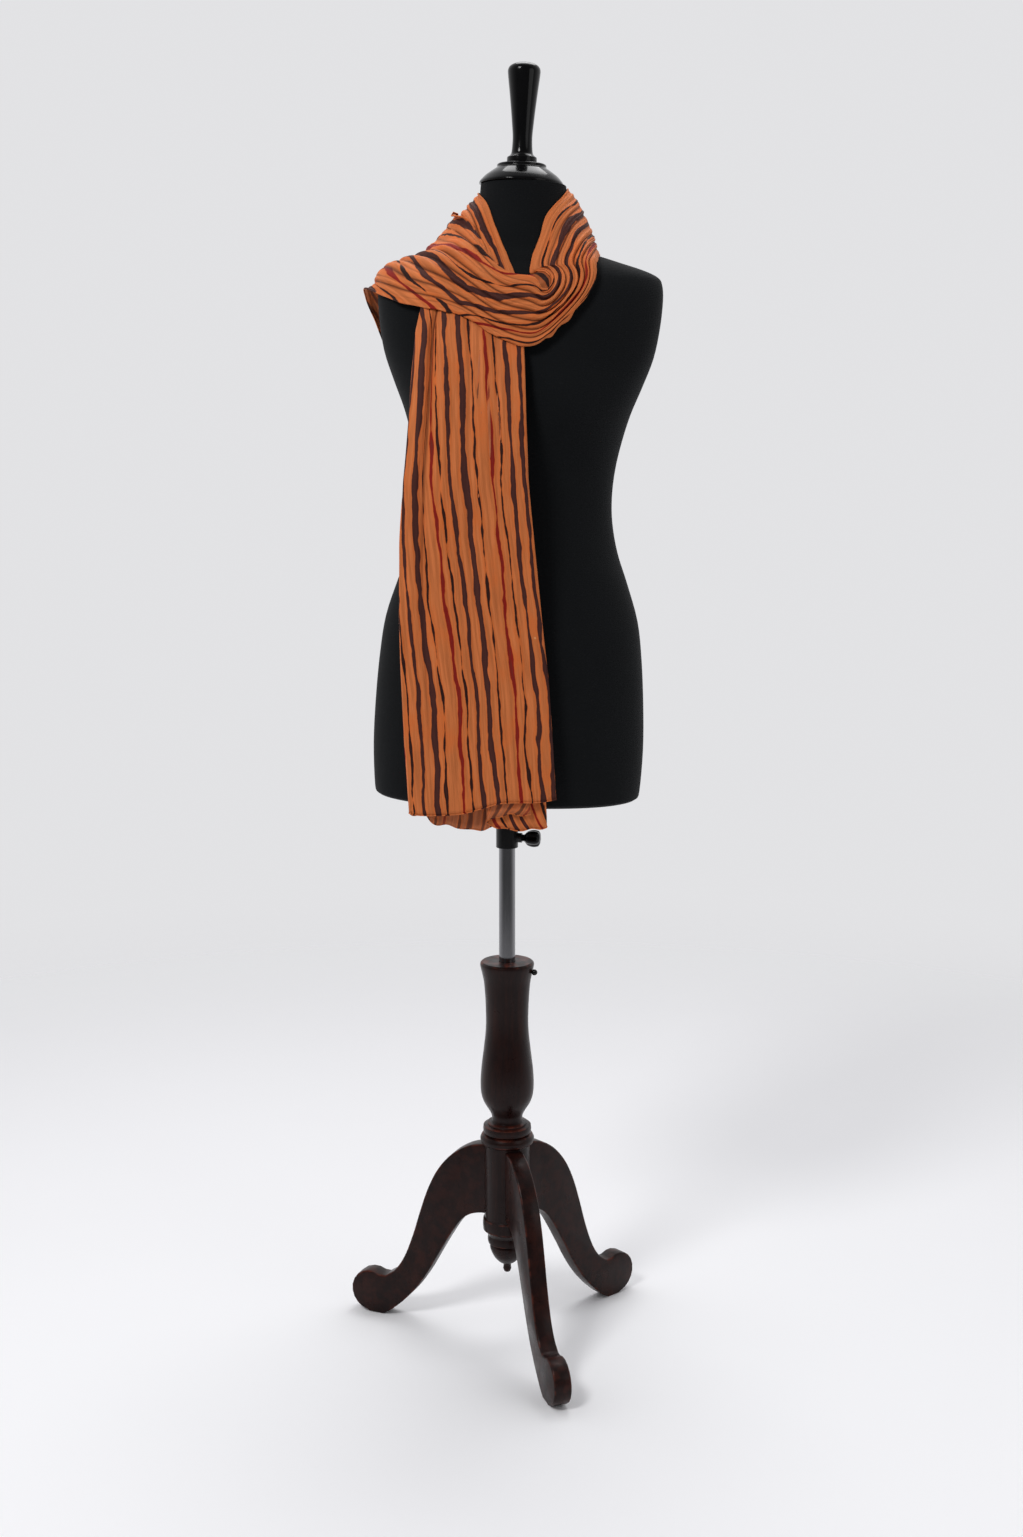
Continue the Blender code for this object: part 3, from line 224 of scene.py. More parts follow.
# Creases run along the strip. The first columns give the share across it from the inner edge and the
# widths of the steep and the gentle side as shares. The others give the depth in millimetres at the
# sections of CREASE_PLACES: chest, right crest, nape, left crest, band, turn, swath, shoulder, back, end.
CREASE_PLACES = (0, 5, 8, 11, 15, 22, 28, 33, 36, 41)
CREASES = (
    (0.00, 0.010, 0.050, 0.0, 0.5, 0.5, 0.5, 0.5, 2.5, 3.0, 2.5, 1.0, 0.0),
    (0.12, 0.035, 0.060, 1.0, 2.0, 2.0, 0.6, 0.6, 1.2, 0.8, 4.5, 5.0, 14.0),
    (0.26, 0.035, 0.070, 1.2, 2.5, 3.0, 1.5, 1.2, 2.6, 1.2, 0.8, 6.0, 17.0),
    (0.40, 0.035, 0.070, 1.2, 2.0, 2.5, 2.2, 2.2, 2.4, 2.0, 5.5, 5.0, 15.0),
    (0.53, 0.035, 0.065, 1.2, 2.5, 3.0, 1.2, 1.4, 3.2, 1.4, 4.5, 6.0, 18.0),
    (0.66, 0.035, 0.060, 1.2, 2.0, 2.5, 2.6, 3.4, 3.4, 1.6, 5.0, 5.0, 14.0),
    (0.78, 0.030, 0.055, 1.4, 2.5, 3.0, 4.0, 3.8, 3.0, 2.4, 1.8, 6.0, 17.0),
    (0.89, 0.030, 0.050, 1.4, 2.0, 2.0, 3.2, 3.0, 2.4, 1.6, 2.6, 5.0, 15.0),
    (1.00, 0.030, 0.010, 0.0, 0.5, 0.5, 1.0, 1.0, 1.5, 1.5, 1.5, 1.0, 0.0),
)
CREASE_SPREAD = 1.7  # how much wider the creases of the back fall open
CREASE_OPENING = 3.0  # sections over which they open
CREASE_SHAPE = 1.4  # how sharp they are at the foot
STOLE_DRIFT = 0.012  # how far the folds wander across the strip, as a share
DRIFT_RUN = 0.8  # how fast they wander, in radians a section
DRIFT_ACROSS = 7.0  # how far that turns from one edge to the other, in radians
STOLE_EASE = 0.25  # how much each section is eased towards its neighbours
BELLY_FULLNESS = 3.5  # how square the belly is, where 2 is a parabola
EDGE_LIFT = 0.0030  # least height of the strip's edges over the torso
SNUG_PLACES = (31.0, 32.8)  # sections between which the strip comes to lie close on the shoulder
SNUG_LIFT = 0.0024  # its height over the torso there, before the room for its creases
CLOTH_CLEAR = 0.0026  # least height of one stretch over another that it crosses
CLOTH_BESIDE = 0.0030  # how far beside its edge that still counts
CLOTH_EASE_ROUNDS = 160

# Front fall. Height, left and right edge as seen, y of its middle, how far those edges lie back
FALL_LEVELS = (
    (1.4000, -0.1030, 0.0170, -0.1060, 0.0130, 0.0020),
    (1.3600, -0.1125, 0.0205, -0.1140, 0.0160, 0.0020),
    (1.3200, -0.1160, 0.0224, -0.1245, 0.0160, 0.0020),
    (1.2600, -0.1203, 0.0239, -0.1335, 0.0140, 0.0030),
    (1.1790, -0.1285, 0.0273, -0.1370, 0.0110, 0.0040),
    (1.1000, -0.1330, 0.0345, -0.1370, 0.0080, 0.0040),
    (1.0110, -0.1351, 0.0437, -0.1360, 0.0060, 0.0040),
    (0.9300, -0.1321, 0.0528, -0.1350, 0.0050, 0.0040),
    (0.8500, -0.1293, 0.0582, -0.1345, 0.0040, 0.0040),
    (0.7600, -0.1237, 0.0636, -0.1340, 0.0040, 0.0040),
)
FALL_SPANS = 95
FALL_DEPTH_TOP = 0.0074
FALL_DEPTH_HEM = 0.0180
UNDER_LAYER_DROP = 0.0010  # how much lower than the front layer the others start
FALL_SEAM_REACH = 0.10  # share of its length over which it takes on the strip's section
FALL_FRONT_ROWS = 9  # rows of the next table that are its front layer
# Its layers, followed across the cut: share from the right edge as seen, share of the depth, hem height
FALL_LAYERS = (
    (0.000, 0.00, 0.7811), (0.130, 0.00, 0.7775), (0.260, 0.00, 0.7773), (0.380, 0.00, 0.7765),
    (0.500, 0.00, 0.7700), (0.620, 0.00, 0.7640), (0.730, 0.00, 0.7618), (0.830, 0.00, 0.7608),
    (0.920, 0.00, 0.7610), (0.985, 0.04, 0.7617), (1.000, 0.35, 0.7610), (0.975, 0.85, 0.7590),
    (0.900, 1.00, 0.7590), (0.840, 1.00, 0.7480), (0.700, 1.00, 0.7440), (0.560, 1.00, 0.7388),
    (0.420, 1.00, 0.7430), (0.250, 1.00, 0.7440), (0.095, 0.98, 0.7440), (0.070, 0.91, 0.7437),
    (0.070, 0.71, 0.7433), (0.095, 0.62, 0.7430), (0.220, 0.61, 0.7400), (0.360, 0.61, 0.7420),
    (0.430, 0.61, 0.7460), (0.468, 0.57, 0.7490), (0.468, 0.37, 0.7530), (0.430, 0.33, 0.7570),
    (0.350, 0.32, 0.7608), (0.180, 0.32, 0.7608),
)
# Soft folds down the fall: share from the right edge, half width, height at each of three stations
FALL_STATIONS = (0.0, 0.4, 1.0)  # shares down the fall
FALL_FOLDS = (
    (0.06, 0.070, 0.0010, 0.0012, 0.0010),
    (0.26, 0.060, -0.0018, -0.0012, -0.0008),
    (0.38, 0.080, 0.0010, 0.0010, 0.0012),
    (0.50, 0.060, -0.0018, -0.0010, -0.0010),
    (0.70, 0.090, 0.0016, 0.0016, 0.0012),
    (0.83, 0.045, -0.0080, -0.0045, 0.0000),
    (0.92, 0.060, 0.0028, 0.0018, 0.0010),
)

# Fineness of the visual surfaces
TURNED_FINE = 96
POLE_SIDES = 64
SOCKET_SIDES = 72
BOSS_SIDES = 48
KNOB_SIDES = 75
SCREW_SIDES = 48
KNOB_STEPS = 3
PROFILE_STEPS = 4
PROFILE_CORNER = math.radians(38.0)  # a profile's turn from which it stays a sharp corner
LEG_STEPS = 5
SAME_POINT = 1e-6  # points nearer than this are joined
TORSO_STEPS = 4
WRAP_ROWS = 300
WRAP_COLUMNS = 148
WRAP_EASE_ROUNDS = 10
FALL_STEPS = 8

# Cloth as it is drawn: a thin shell, with its edges turned under and its creases deeper than the solid's
CHIFFON = 0.0005
# How much deeper than the solid's the creases are drawn, at these sections
GAIN_PLACES = (0, 5, 8, 14, 17, 33, 36, 37)
GAINS = (1.2, 0.8, 0.7, 0.8, 1.35, 1.35, 1.2, 1.0)
# Painted shade along the foot of the main creases
CREASE_SHADE_WIDTH = 0.46  # share of a crease's width that gets painted shade
CREASE_SHADE_DEPTH = 1.5  # depth in mm from which the painted shade is at its darkest
CREASE_SHADE_SHAPE = 1.2
CREASE_SHADE_END = 0.35  # how dark the painted shade still is where the back fall's creases have opened
EDGE_SHARE = 0.035  # share along each edge over which creases and gathers fade out
CREASE_ROOM = 0.0013  # least height left over the torso at the foot of a crease
# Edges turned under
ROLL_RADIUS = 0.0011
ROLL_TURN = math.radians(170.0)
ROLL_STEPS = 4
# Fine gathers: wave length across, height, how far they wander along, phase
RIPPLES = (
    (0.0096, 0.00032, 1.3, 0.10),
    (0.0063, 0.00022, 2.1, 0.55),
    (0.0151, 0.00045, 0.9, 0.30),
)
RIPPLE_RUN = 0.16  # length along the cloth over which they wander
RIPPLE_ACROSS = 0.105  # the strip's width that the wave lengths are for
RIPPLE_SHIFT = 5.0  # how far apart their wanders are, for each turn of phase
RIPPLE_SWELL = (0.6, 0.4)  # their mean strength and how much it swells
RIPPLE_SWELL_TURNS = (0.7, 40.0, 9.0)  # how fast it swells along, across and with the phase
# Small creases between the main ones: share across, depth, half width in shares, phase of their wander
FINE_CREASES = (
    (0.062, 0.0007, 0.018, 0.3), (0.190, 0.0010, 0.022, 1.9), (0.330, 0.0008, 0.020, 3.1),
    (0.465, 0.0011, 0.022, 4.4), (0.595, 0.0009, 0.020, 0.9), (0.720, 0.0010, 0.022, 2.6),
    (0.835, 0.0008, 0.020, 5.3), (0.945, 0.0007, 0.018, 3.7),
)
FINE_WANDER = 0.014  # how far they wander, as a share of the width
FINE_RUN = 0.9  # how fast, in radians a section
FINE_STRENGTH = (0.55, 0.65)  # their mean strength and how much it swells along the strip
FINE_BEAT = 0.63  # how fast it swells, in radians a section
FINE_SHIFT = 2.3  # how far apart their swells are, for each radian of their phase
FINE_SHAPE = 1.3
FINE_SHADE = 0.45  # how dark the painted shade along them is
# The front fall: strength of its gathers, its width and length for them, and its crease from storage
FALL_RIPPLE = 1.6
FALL_ACROSS = 0.190
FALL_RUN = 0.560
STORAGE_CREASE = 1.1615
STORAGE_HALF = 0.0065
STORAGE_DEPTH = 0.0008
# Curls of the under layers' hems. The rise runs slower than the depth by CURL_BEAT.
CURL_LENGTH = 0.019
CURL_DEPTH = 0.0014
CURL_RISE = 0.0014
CURL_BEAT = 0.62
CURL_REACH = 0.10  # share of the fall over which they fade out upward
# Rolled hems, dimpled at each stitch by a share of their radius
HEM_RADIUS = 0.0007
HEM_STITCH = 0.0045
HEM_DIMPLE = 0.12
HEM_DIMPLE_FROM = 0.7  # how near the top of each stitch's wave the dimple is
HEM_SPOTS = 4  # rings for each stitch
HEM_SIDES = 8

# Stripes across the cut, from the edge at the right of the front fall: place and width in mm, colour
STRIPE_PERIOD = 0.210
STRIPES = (
    (9.0, 5.6, "plum"), (24.0, 5.4, "plum"), (38.5, 3.0, "black"), (49.5, 4.2, "red"),
    (69.0, 2.8, "black"), (82.5, 8.0, "plum"), (100.5, 5.6, "plum"), (114.5, 3.2, "black"),
    (124.5, 4.8, "red"), (145.0, 2.8, "black"), (156.5, 7.6, "plum"), (174.0, 5.4, "plum"),
    (187.5, 3.2, "black"), (199.0, 3.2, "red"),
)
STRIPE_REACH = 0.040  # distance in metres that the whole grey scale of the stripes' ramp stands for
# Where the cut lies across the gathered strip: section, then mm from that edge at the shares named first
LAY_SHARES = (0.0, 0.2, 0.4, 0.5, 0.6, 0.8, 1.0)
LAY = (
    (0, 0, 24, 48, 60, 72, 96, 120),
    (3, 2, 13, 24, 30, 40, 60, 120),
    (5, 2, 13, 24, 30, 40, 60, 120),
    (8, 30, 44, 58, 66, 76, 96, 134),
    (11, 55, 71, 86, 98, 107, 121, 142),
    (16, 55, 71, 86, 98, 107, 121, 142),
    (22, 62, 82, 99, 106, 114, 127, 150),
    (26, 48, 68, 84, 91, 98, 118, 150),
    (29, 30, 48, 64, 71, 78, 94, 112),
    (33, 16, 35, 49, 86, 100, 126, 160),
    (36, 14, 38, 74, 92, 110, 150, 190),
    (41, 0, 46, 93, 116, 139, 186, 232),
)
# Cloth hidden in the fall's pleat: share where it lies, half width, how much at the top, where it has run out
PLEAT_SHARE = 0.83
PLEAT_WIDTH = 0.022
PLEAT_HIDDEN = 0.025
PLEAT_END = 0.50
# Small ruffles along the strip's edges: section, reach in sections, edge (0 inner, 1 outer), how far out
RUFFLES = (
    (32.60, 0.90, 0, 0.0022),
    (33.60, 0.70, 0, 0.0015),
    (21.6, 0.55, 1, 0.0030),
    (22.7, 0.45, 1, 0.0035),
)
RUFFLE_SHARE = 0.14  # share of the width that they reach in
RUFFLE_LIFT = 0.5  # how far they stand off, against how far out
# Cloth seen inside the small eye of the turn: the sections whose inner edges it joins, and its depth
TUCK_PLACES = (17.3, 21.4, 25.6)
TUCK_DEPTH = 0.0019
TUCK_ROWS = 16
TUCK_COLUMNS = 12
TUCK_LAY_STEP = 0.001  # metres of cut from one of its points to the next
TUCK_SHADE = 0.55  # how dark the painted shade over it is
# Front fall on the cut
FALL_DRIFT = 0.0065  # how far the cut moves under its right edge from the top to the hem
FALL_SHADE_WIDTH = 0.35  # share of a soft fold's width that gets painted shade
FALL_SHADE_DEPTH = 0.008  # depth from which the painted shade is at its darkest
FALL_SHADE_SHAPE = 1.5

# Small bevels of the hard pieces
TORSO_BEVEL = 0.0030
CAP_BEVEL = 0.0004
DROP_BEVEL = 0.0004
METAL_BEVEL = 0.0006
BOSS_BEVEL = 0.0005
COLUMN_BEVEL = 0.0005
BEVEL_FROM = math.radians(32.0)
# Edges look rubbed from this turn in degrees, and fully so after this many more
WEAR_FROM = 12.0
WEAR_OVER = 25.0

# Finishes of the turned and moulded pieces: least and greatest roughness, metal, scale of marks, coat
FINISHES = {
    "black_lacquer_gloss": (0.10, 0.20, 0.0, (40.0, 40.0, 40.0), 0.05),
    "steel_bright": (0.08, 0.16, 1.0, (400.0, 400.0, 6.0), 0.0),
    "black_coated": (0.28, 0.42, 0.0, (90.0, 90.0, 90.0), 0.2),
}
# Woods: scale of the grain across and along each kind of piece
WOODS = {"mahogany_turned": (120.0, 120.0, 9.0), "mahogany_sawn": (45.0, 45.0, 14.0)}
# Noises over the cut: scale along and across it, detail, roughness. The first two carry the stripes
# sideways, the next two swell and fray them, three tone the ground and the last is its relief.
CLOTH_NOISES = {
    "slow": (5.0, 14.0, 2.0, 0.5),
    "sway": (17.0, 44.0, 1.0, 0.5),
    "wide": (24.0, 70.0, 2.0, 0.6),
    "quick": (70.0, 160.0, 3.0, 0.6),
    "streaks": (13.0, 240.0, 3.0, 0.5),
    "cloud": (16.0, 30.0, 3.0, 0.5),
    "threads": (260.0, 2600.0, 1.0, 0.5),
    "crinkle": (22.0, 420.0, 3.0, 0.65),
}
SWAY_SHARE = 0.65  # how far the sway carries the stripes, against the slow wander
STRIPE_FRAY = 0.0021  # how far their edges fray
STRIPE_EDGE = (0.0, 0.0008)  # distances inside a stripe's edge over which its dye takes over
STRIPE_HALO = (-0.0026, -0.0006)  # distances over which the ground beside it turns clearer
STRIPE_CORE = (0.0014, 0.0034)  # distances over which a wide stripe turns paler
DRY_DYE = (2.4, 1.8, 1.3)  # how much paler than plum the dye is where it ran dry, for each colour part
CORE_DYE = (1.8, 1.7, 1.3)  # the same in the middle of a wide stripe
# Slubs, by the scale of their cells and their size in them, and the plain weave
KNOT_SCALE = 15.0
KNOT_SIZE = (0.012, 0.026)
WEAVE_SCALE = 320.0

# Stage
FLOOR_RADIUS = 4.0
FLOOR_FADE = (1.0, 2.8)  # distances from the stand over which the floor fades into the backdrop
WORLD_COLOUR = (0.955, 0.955, 0.975)
WORLD_STRENGTH = 0.80
# Light of the room on the part: from dim in front to bright behind, over these shares of depth
ROOM_DEPTH = (-0.7, 0.5)
ROOM_STRENGTH = (0.16, 0.95)
LIGHT_AIM = (0.0, 0.0, 1.1)
# Name, place, size, share of the main light's power
LIGHTS = (
    ("key_light", (-1.3, -1.9, 2.9), 0.8, 1.0),
    ("fill_light", (2.2, -1.6, 1.7), 1.6, 0.18),
    ("top_light", (0.2, 0.9, 3.1), 1.4, 0.45),
)
CAMERA_LENS = 43.68
CAMERA_SIDE = 0.0059
CAMERA_DISTANCE = 2.443
CAMERA_HEIGHT = 1.199
CAMERA_PITCH = math.radians(9.29)


def linear(red, green, blue):
    """Linear colour from the 0 to 255 values that a colour picker shows."""
    return tuple(
        v / 12.92 if v <= 0.04045 else ((v + 0.055) / 1.055) ** 2.4
        for v in (red / 255.0, green / 255.0, blue / 255.0)
    )


def turned(profile, sides):
    """A closed turned body about Z from (radius, height) points that run from the top down."""
    bm = bmesh.new()
    points = [bm.verts.new((radius, 0.0, height)) for radius, height in profile]
    edges = [bm.edges.new(pair) for pair in zip(points, points[1:])]
    bmesh.ops.spin(
        bm,
        geom=points + edges,
        cent=(0.0, 0.0, 0.0),
        axis=(0.0, 0.0, 1.0),
        angle=2.0 * math.pi,
        steps=sides,
        use_merge=True,
    )
    bmesh.ops.remove_doubles(bm, verts=bm.verts, dist=SAME_POINT)
    bmesh.ops.recalc_face_normals(bm, faces=bm.faces)
    return bm


def smooth_curve(points, steps):
    """Points along a Catmull-Rom curve through the given ones, with steps spans between two of them."""
    spans = len(points) - 1
    return between(points, np.linspace(0.0, spans, spans * steps + 1))


def lean(point):
    """Tips a point of the upright torso about its base, to the wearer's left."""
    x = point[0] - TORSO_LEAN_X
    z = point[2] - TORSO_BASE
    return Vector(
        (
            TORSO_LEAN_X + x * math.cos(TORSO_LEAN) + z * math.sin(TORSO_LEAN),
            point[1],
            TORSO_BASE + z * math.cos(TORSO_LEAN) - x * math.sin(TORSO_LEAN),
        )
    )


def bust(x, z):
    """How far the bust stands out in front of the plain ring at this place."""
    across = (abs(x) - BUST_APART) / BUST_REACH
    up = (z - BUST_HEIGHT) / BUST_REACH
    return BUST_FULLNESS * math.exp(-(across**2) - up**2)


def torso_ring(level):
    """One horizontal ring of the upright torso, anticlockwise from the wearer's left side."""
    height, half_width, front, back, squareness = level
    ring = []
    for k in range(TORSO_SIDES):
        turn = 2.0 * math.pi * k / TORSO_SIDES
        x = half_width * math.copysign(abs(math.cos(turn)) ** (2.0 / squareness), math.cos(turn))
        reach = abs(math.sin(turn)) ** (2.0 / squareness)
        y = back * reach if math.sin(turn) > 0 else -front * reach - bust(x, height) * reach
        ring.append((x, y, height))
    return ring


def between(table, places):
    """Rows of a table at fractional places, along Catmull-Rom curves through its rows."""
    given = np.array(table, float)
    padded = np.vstack([2 * given[0] - given[1], given, 2 * given[-1] - given[-2]])
    first = np.clip(np.floor(places).astype(int), 0, len(given) - 2)
    u = (np.asarray(places) - first)[:, None]
    before, start, end, after = (padded[first + k] for k in range(4))
    return 0.5 * (
        2 * start
        + (end - before) * u
        + (2 * before - 5 * start + 4 * end - after) * u**2
        + (3 * start - before - 3 * end + after) * u**3
    )


def unit(vectors):
    return vectors / np.maximum(np.linalg.norm(vectors, axis=-1, keepdims=True), 1e-12)


def distances(path):
    """How far along a path each of its points lies."""
    return np.concatenate([[0.0], np.cumsum(np.linalg.norm(np.diff(path, axis=0), axis=1))])


def at_spots(spots, places, rows):
    """Rows of a table at new spots between the places of its own rows."""
    return np.column_stack([np.interp(spots, places, rows[:, k]) for k in range(rows.shape[1])])


def nearness(values, centre, reach):
    """1 at a centre, falling evenly to 0 at its reach on either side."""
    return np.clip(1.0 - np.abs(values - centre) / reach, 0.0, 1.0)


def softened(near):
    return 0.5 * (1.0 - np.cos(math.pi * near))


def facings(grid):
    """Unit normals of a grid's cells, on the side of the cloth that faces out."""
    one = grid[1:, 1:] - grid[:-1, :-1]
    other = grid[:-1, 1:] - grid[1:, :-1]
    return unit(np.cross(one, other))


def outward(grid):
    """Unit normals at a grid's points."""
    cells = np.pad(facings(grid), ((1, 1), (1, 1), (0, 0)), mode="edge")
    return unit(cells[:-1, :-1] + cells[:-1, 1:] + cells[1:, :-1] + cells[1:, 1:])


def lift_of(tree, point):
    """A point's height over a surface, and how far it is beside it."""
    near, normal, _, distance = tree.find_nearest(Vector(point))
    lift = (Vector(point) - near).dot(normal)
    return lift, math.sqrt(max(distance**2 - lift**2, 0.0))


def lay_over_form(tree, row, shares, belly, snug, room):
    """Moves one section out until it clears the torso by its ends' lifts and its belly. Where it is snug,
    it clears the torso only by the room for its creases."""
    ends = [max(lift_of(tree, row[k])[0], EDGE_LIFT) for k in (0, -1)]
    laid = row.copy()
    for j, share in enumerate(shares):
        near, normal, _, distance = tree.find_nearest(Vector(row[j]))
        lift = distance if (Vector(row[j]) - near).dot(normal) >= 0.0 else -distance
        held = ends[0] + (ends[1] - ends[0]) * share + belly[j]
        least = held + (SNUG_LIFT + room - held) * snug
        laid[j] += np.array(normal) * max(least - lift, 0.0)
    return laid


def lay_over_cloth(tree, grid, drops):
    """Moves a stretch out until its creases clear the cloth beneath it, and eases it round those places."""
    short = np.zeros(grid.shape[:2])
    for i, j in np.ndindex(*short.shape):
        lift, beside = lift_of(tree, grid[i, j])
        if beside < CLOTH_BESIDE:
            short[i, j] = max(CLOTH_CLEAR + drops[i, j] - lift, 0.0)
    eased = short.copy()
    for _ in range(CLOTH_EASE_ROUNDS):
        edge = np.pad(eased, 1, mode="edge")
        mean = (edge[:-2, 1:-1] + edge[2:, 1:-1] + edge[1:-1, :-2] + edge[1:-1, 2:]) / 4.0
        eased = np.maximum(short, mean)
    return grid + outward(grid) * eased[:, :, None]


def crease_drop(shares, place):
    """How far the strip's surface drops into its creases at these shares of one section."""
    opened = np.clip((place - CREASE_PLACES[-2]) / CREASE_OPENING, 0.0, 1.0)
    spread = 1.0 + (CREASE_SPREAD - 1.0) * opened
    drop = np.zeros(len(shares))
    for share, steep, gentle, *depths in CREASES:
        side = np.where(shares < share, steep * spread, gentle * spread)
        near = nearness(shares, share, side)
        drop = np.maximum(drop, 0.001 * np.interp(place, CREASE_PLACES, depths) * near**CREASE_SHAPE)
    return drop


def strip_base(tree, places, shares):
    """The strip before it is creased: one row of points for each place along it."""
    sections = between(STOLE_SECTIONS, places)
    grid = np.empty((len(places), len(shares), 3))
    for i, section in enumerate(sections):
        turn = DRIFT_RUN * places[i] + DRIFT_ACROSS * shares
        drift = 4.0 * shares * (1.0 - shares) * np.sin(turn)
        moved = (shares + STOLE_DRIFT * drift)[:, None]
        grid[i] = section[0:3] * (1.0 - moved) + section[3:6] * moved
    belly = sections[:, 6:7] * (1.0 - np.abs(2.0 * shares - 1.0) ** BELLY_FULLNESS)
    grid += outward(grid) * belly[:, :, None]
    snug = np.interp(places, SNUG_PLACES, (0.0, 1.0))
    for i, place in enumerate(places):
        room = crease_drop(shares, place).max()
        grid[i] = lay_over_form(tree, grid[i], shares, belly[i], snug[i], room)
    eased = grid[1:-1] + STOLE_EASE * (grid[:-2] + grid[2:] - 2.0 * grid[1:-1])
    eased[:, (0, -1)] = grid[1:-1, (0, -1)]
    grid[1:-1] = eased
    return grid


def fall_row(down, heights, shares):
    """One level of the front fall's front layer, carried round its other layers."""
    levels = np.array(FALL_LEVELS)[::-1]
    left, right, middle, left_back, right_back = (
        np.interp(heights, levels[:, 0], levels[:, k]) for k in range(1, 6)
    )
    rise = np.zeros(len(shares))
    for share, half_width, *rises in FALL_FOLDS:
        rise += np.interp(down, FALL_STATIONS, rises) * softened(nearness(shares, share, half_width))
    back = np.where(shares > 0.5, left_back, right_back)
    y = middle + back * np.abs(2.0 * shares - 1.0) ** 3 - rise
    return np.column_stack([right + (left - right) * shares, y, heights])


def fall_points(top, top_shares, shares, depths, hems):
    """The front fall's surface: rows from its hem up to its seam with the strip, across its layers."""
    seam = at_spots(shares, top_shares, top)
    seam[:, 2] -= UNDER_LAYER_DROP * np.minimum(depths / FALL_LAYERS[FALL_FRONT_ROWS][1], 1.0)
    off = seam - fall_row(0.0, seam[:, 2], shares)
    downs = np.linspace(1.0, 0.0, FALL_SPANS + 1)
    grid = np.empty((len(downs), len(shares), 3))
    for i, down in enumerate(downs):
        grid[i] = fall_row(down, seam[:, 2] * (1.0 - down) + hems * down, shares)
        grid[i] += off * max(1.0 - down / FALL_SEAM_REACH, 0.0) ** 2
        grid[i, :, 1] += depths * (FALL_DEPTH_TOP + (FALL_DEPTH_HEM - FALL_DEPTH_TOP) * down)
    return grid


def grid_tree(*grids):
    """A search tree over grids of points, with its faces turned out."""
    points = []
    faces = []
    for grid in grids:
        rows, columns = grid.shape[:2]
        for i, j in np.ndindex(rows - 1, columns - 1):
            corner = len(points) + i * columns + j
            faces.append((corner, corner + columns, corner + columns + 1, corner + 1))
        points += [Vector(point) for point in grid.reshape(-1, 3)]
    return BVHTree.FromPolygons(points, faces)


def leg_outline():
    """The sawn outline of one leg in its own plane: top edge, scroll foot, underside."""
    top = smooth_curve(LEG_TOP_EDGE, LEG_STEPS)
    start, end = (math.radians(a) for a in LEG_SCROLL_ARC)
    turns = np.linspace(start, end, LEG_SCROLL_STEPS)
    scroll = LEG_SCROLL_CENTRE + LEG_SCROLL_RADIUS * np.column_stack([np.cos(turns), np.sin(turns)])
    under = np.vstack([LEG_UNDER_EDGE[0], smooth_curve(LEG_UNDER_EDGE[1:], LEG_STEPS)])
    return np.vstack([top, scroll, under])


# Properties


def colour_property(name, description, default):
    return bpy.props.FloatVectorProperty(
        name=name, description=description, default=default, subtype="COLOR", size=3, min=0.0, max=1.0
    )


class StoleLook(bpy.types.PropertyGroup):
    ground: colour_property("Ground", "Main colour of the chiffon", linear(207, 116, 63))
    bright: colour_property("Bright", "Clearer orange in the ground", linear(219, 107, 46))
    plum: colour_property("Plum", "Colour of the wide stripes", linear(66, 34, 31))
    black: colour_property("Near-black", "Colour of the thin stripes", linear(40, 17, 13))
    red: colour_property("Red", "Colour of the red stripes", linear(140, 24, 14))
    wrong_side: colour_property("Wrong side", "Ground on the cloth's wrong side", linear(190, 110, 70))
    wander: bpy.props.FloatProperty(
        name="Wander",
        description="How far the stripes wander along the cloth",
        default=0.0064,
        min=0.0,
        max=0.02,
        unit="LENGTH",
    )
    swell: bpy.props.FloatProperty(
        name="Swell",
        description="How much the stripes' width varies",
        default=0.0034,
        min=0.0,
        max=0.01,
        unit="LENGTH",
    )
    crinkle: bpy.props.FloatProperty(
        name="Crinkle", description="Strength of the fine crinkles", default=0.55, min=0.0, max=1.0
    )


class FormLook(bpy.types.PropertyGroup):
    jersey: colour_property("Jersey", "Colour of the torso's cover", linear(17, 19, 21))
    lacquer: colour_property("Lacquer", "Colour of the turned neck cap", linear(9, 9, 10))


class StandLook(bpy.types.PropertyGroup):
    stain: colour_property("Stain", "Dark colour of the wood", linear(25, 12, 11))
    grain: colour_property("Grain", "Lighter colour in the grain", linear(40, 19, 15))
    worn: colour_property("Worn edge", "Colour where the edges are rubbed", linear(92, 42, 30))
    steel: colour_property("Steel", "Colour of the pole", (0.15, 0.15, 0.156))


class StageLook(bpy.types.PropertyGroup):
    floor: colour_property("Floor", "Colour of the floor and backdrop", linear(248, 248, 250))
    light: bpy.props.FloatProperty(
        name="Light", description="Strength of the main light", default=42.0, min=0.0, unit="POWER"
    )


# Materials


def add_node(tree, kind, inputs=None, **settings):
    """A shader node with its settings, and its inputs set to values or linked to sockets."""
    made = tree.nodes.new("ShaderNode" + kind)
    for key, value in settings.items():
        setattr(made, key, value)
    for key, value in (inputs or {}).items():
        if isinstance(value, bpy.types.NodeSocket):
            tree.links.new(value, made.inputs[key])
        else:
            made.inputs[key].default_value = value
    return made


def new_material(name, **sockets):
    """A material with its Principled shader, and that shader's plain sockets set."""
    made = bpy.data.materials.new(name)
    made.use_nodes = True
    shader = made.node_tree.nodes["Principled BSDF"]
    for key, value in sockets.items():
        shader.inputs[key.replace("_", " ")].default_value = value
    return made, made.node_tree, shader


def math_node(tree, operation, one, other=0.0, third=0.0):
    return add_node(tree, "Math", {0: one, 1: other, 2: third}, operation=operation).outputs[0]


def noise(tree, vector, scale, detail=2.0, roughness=0.5):
    inputs = {"Vector": vector, "Scale": scale, "Detail": detail, "Roughness": roughness}
    return add_node(tree, "TexNoise", inputs).outputs["Fac"]


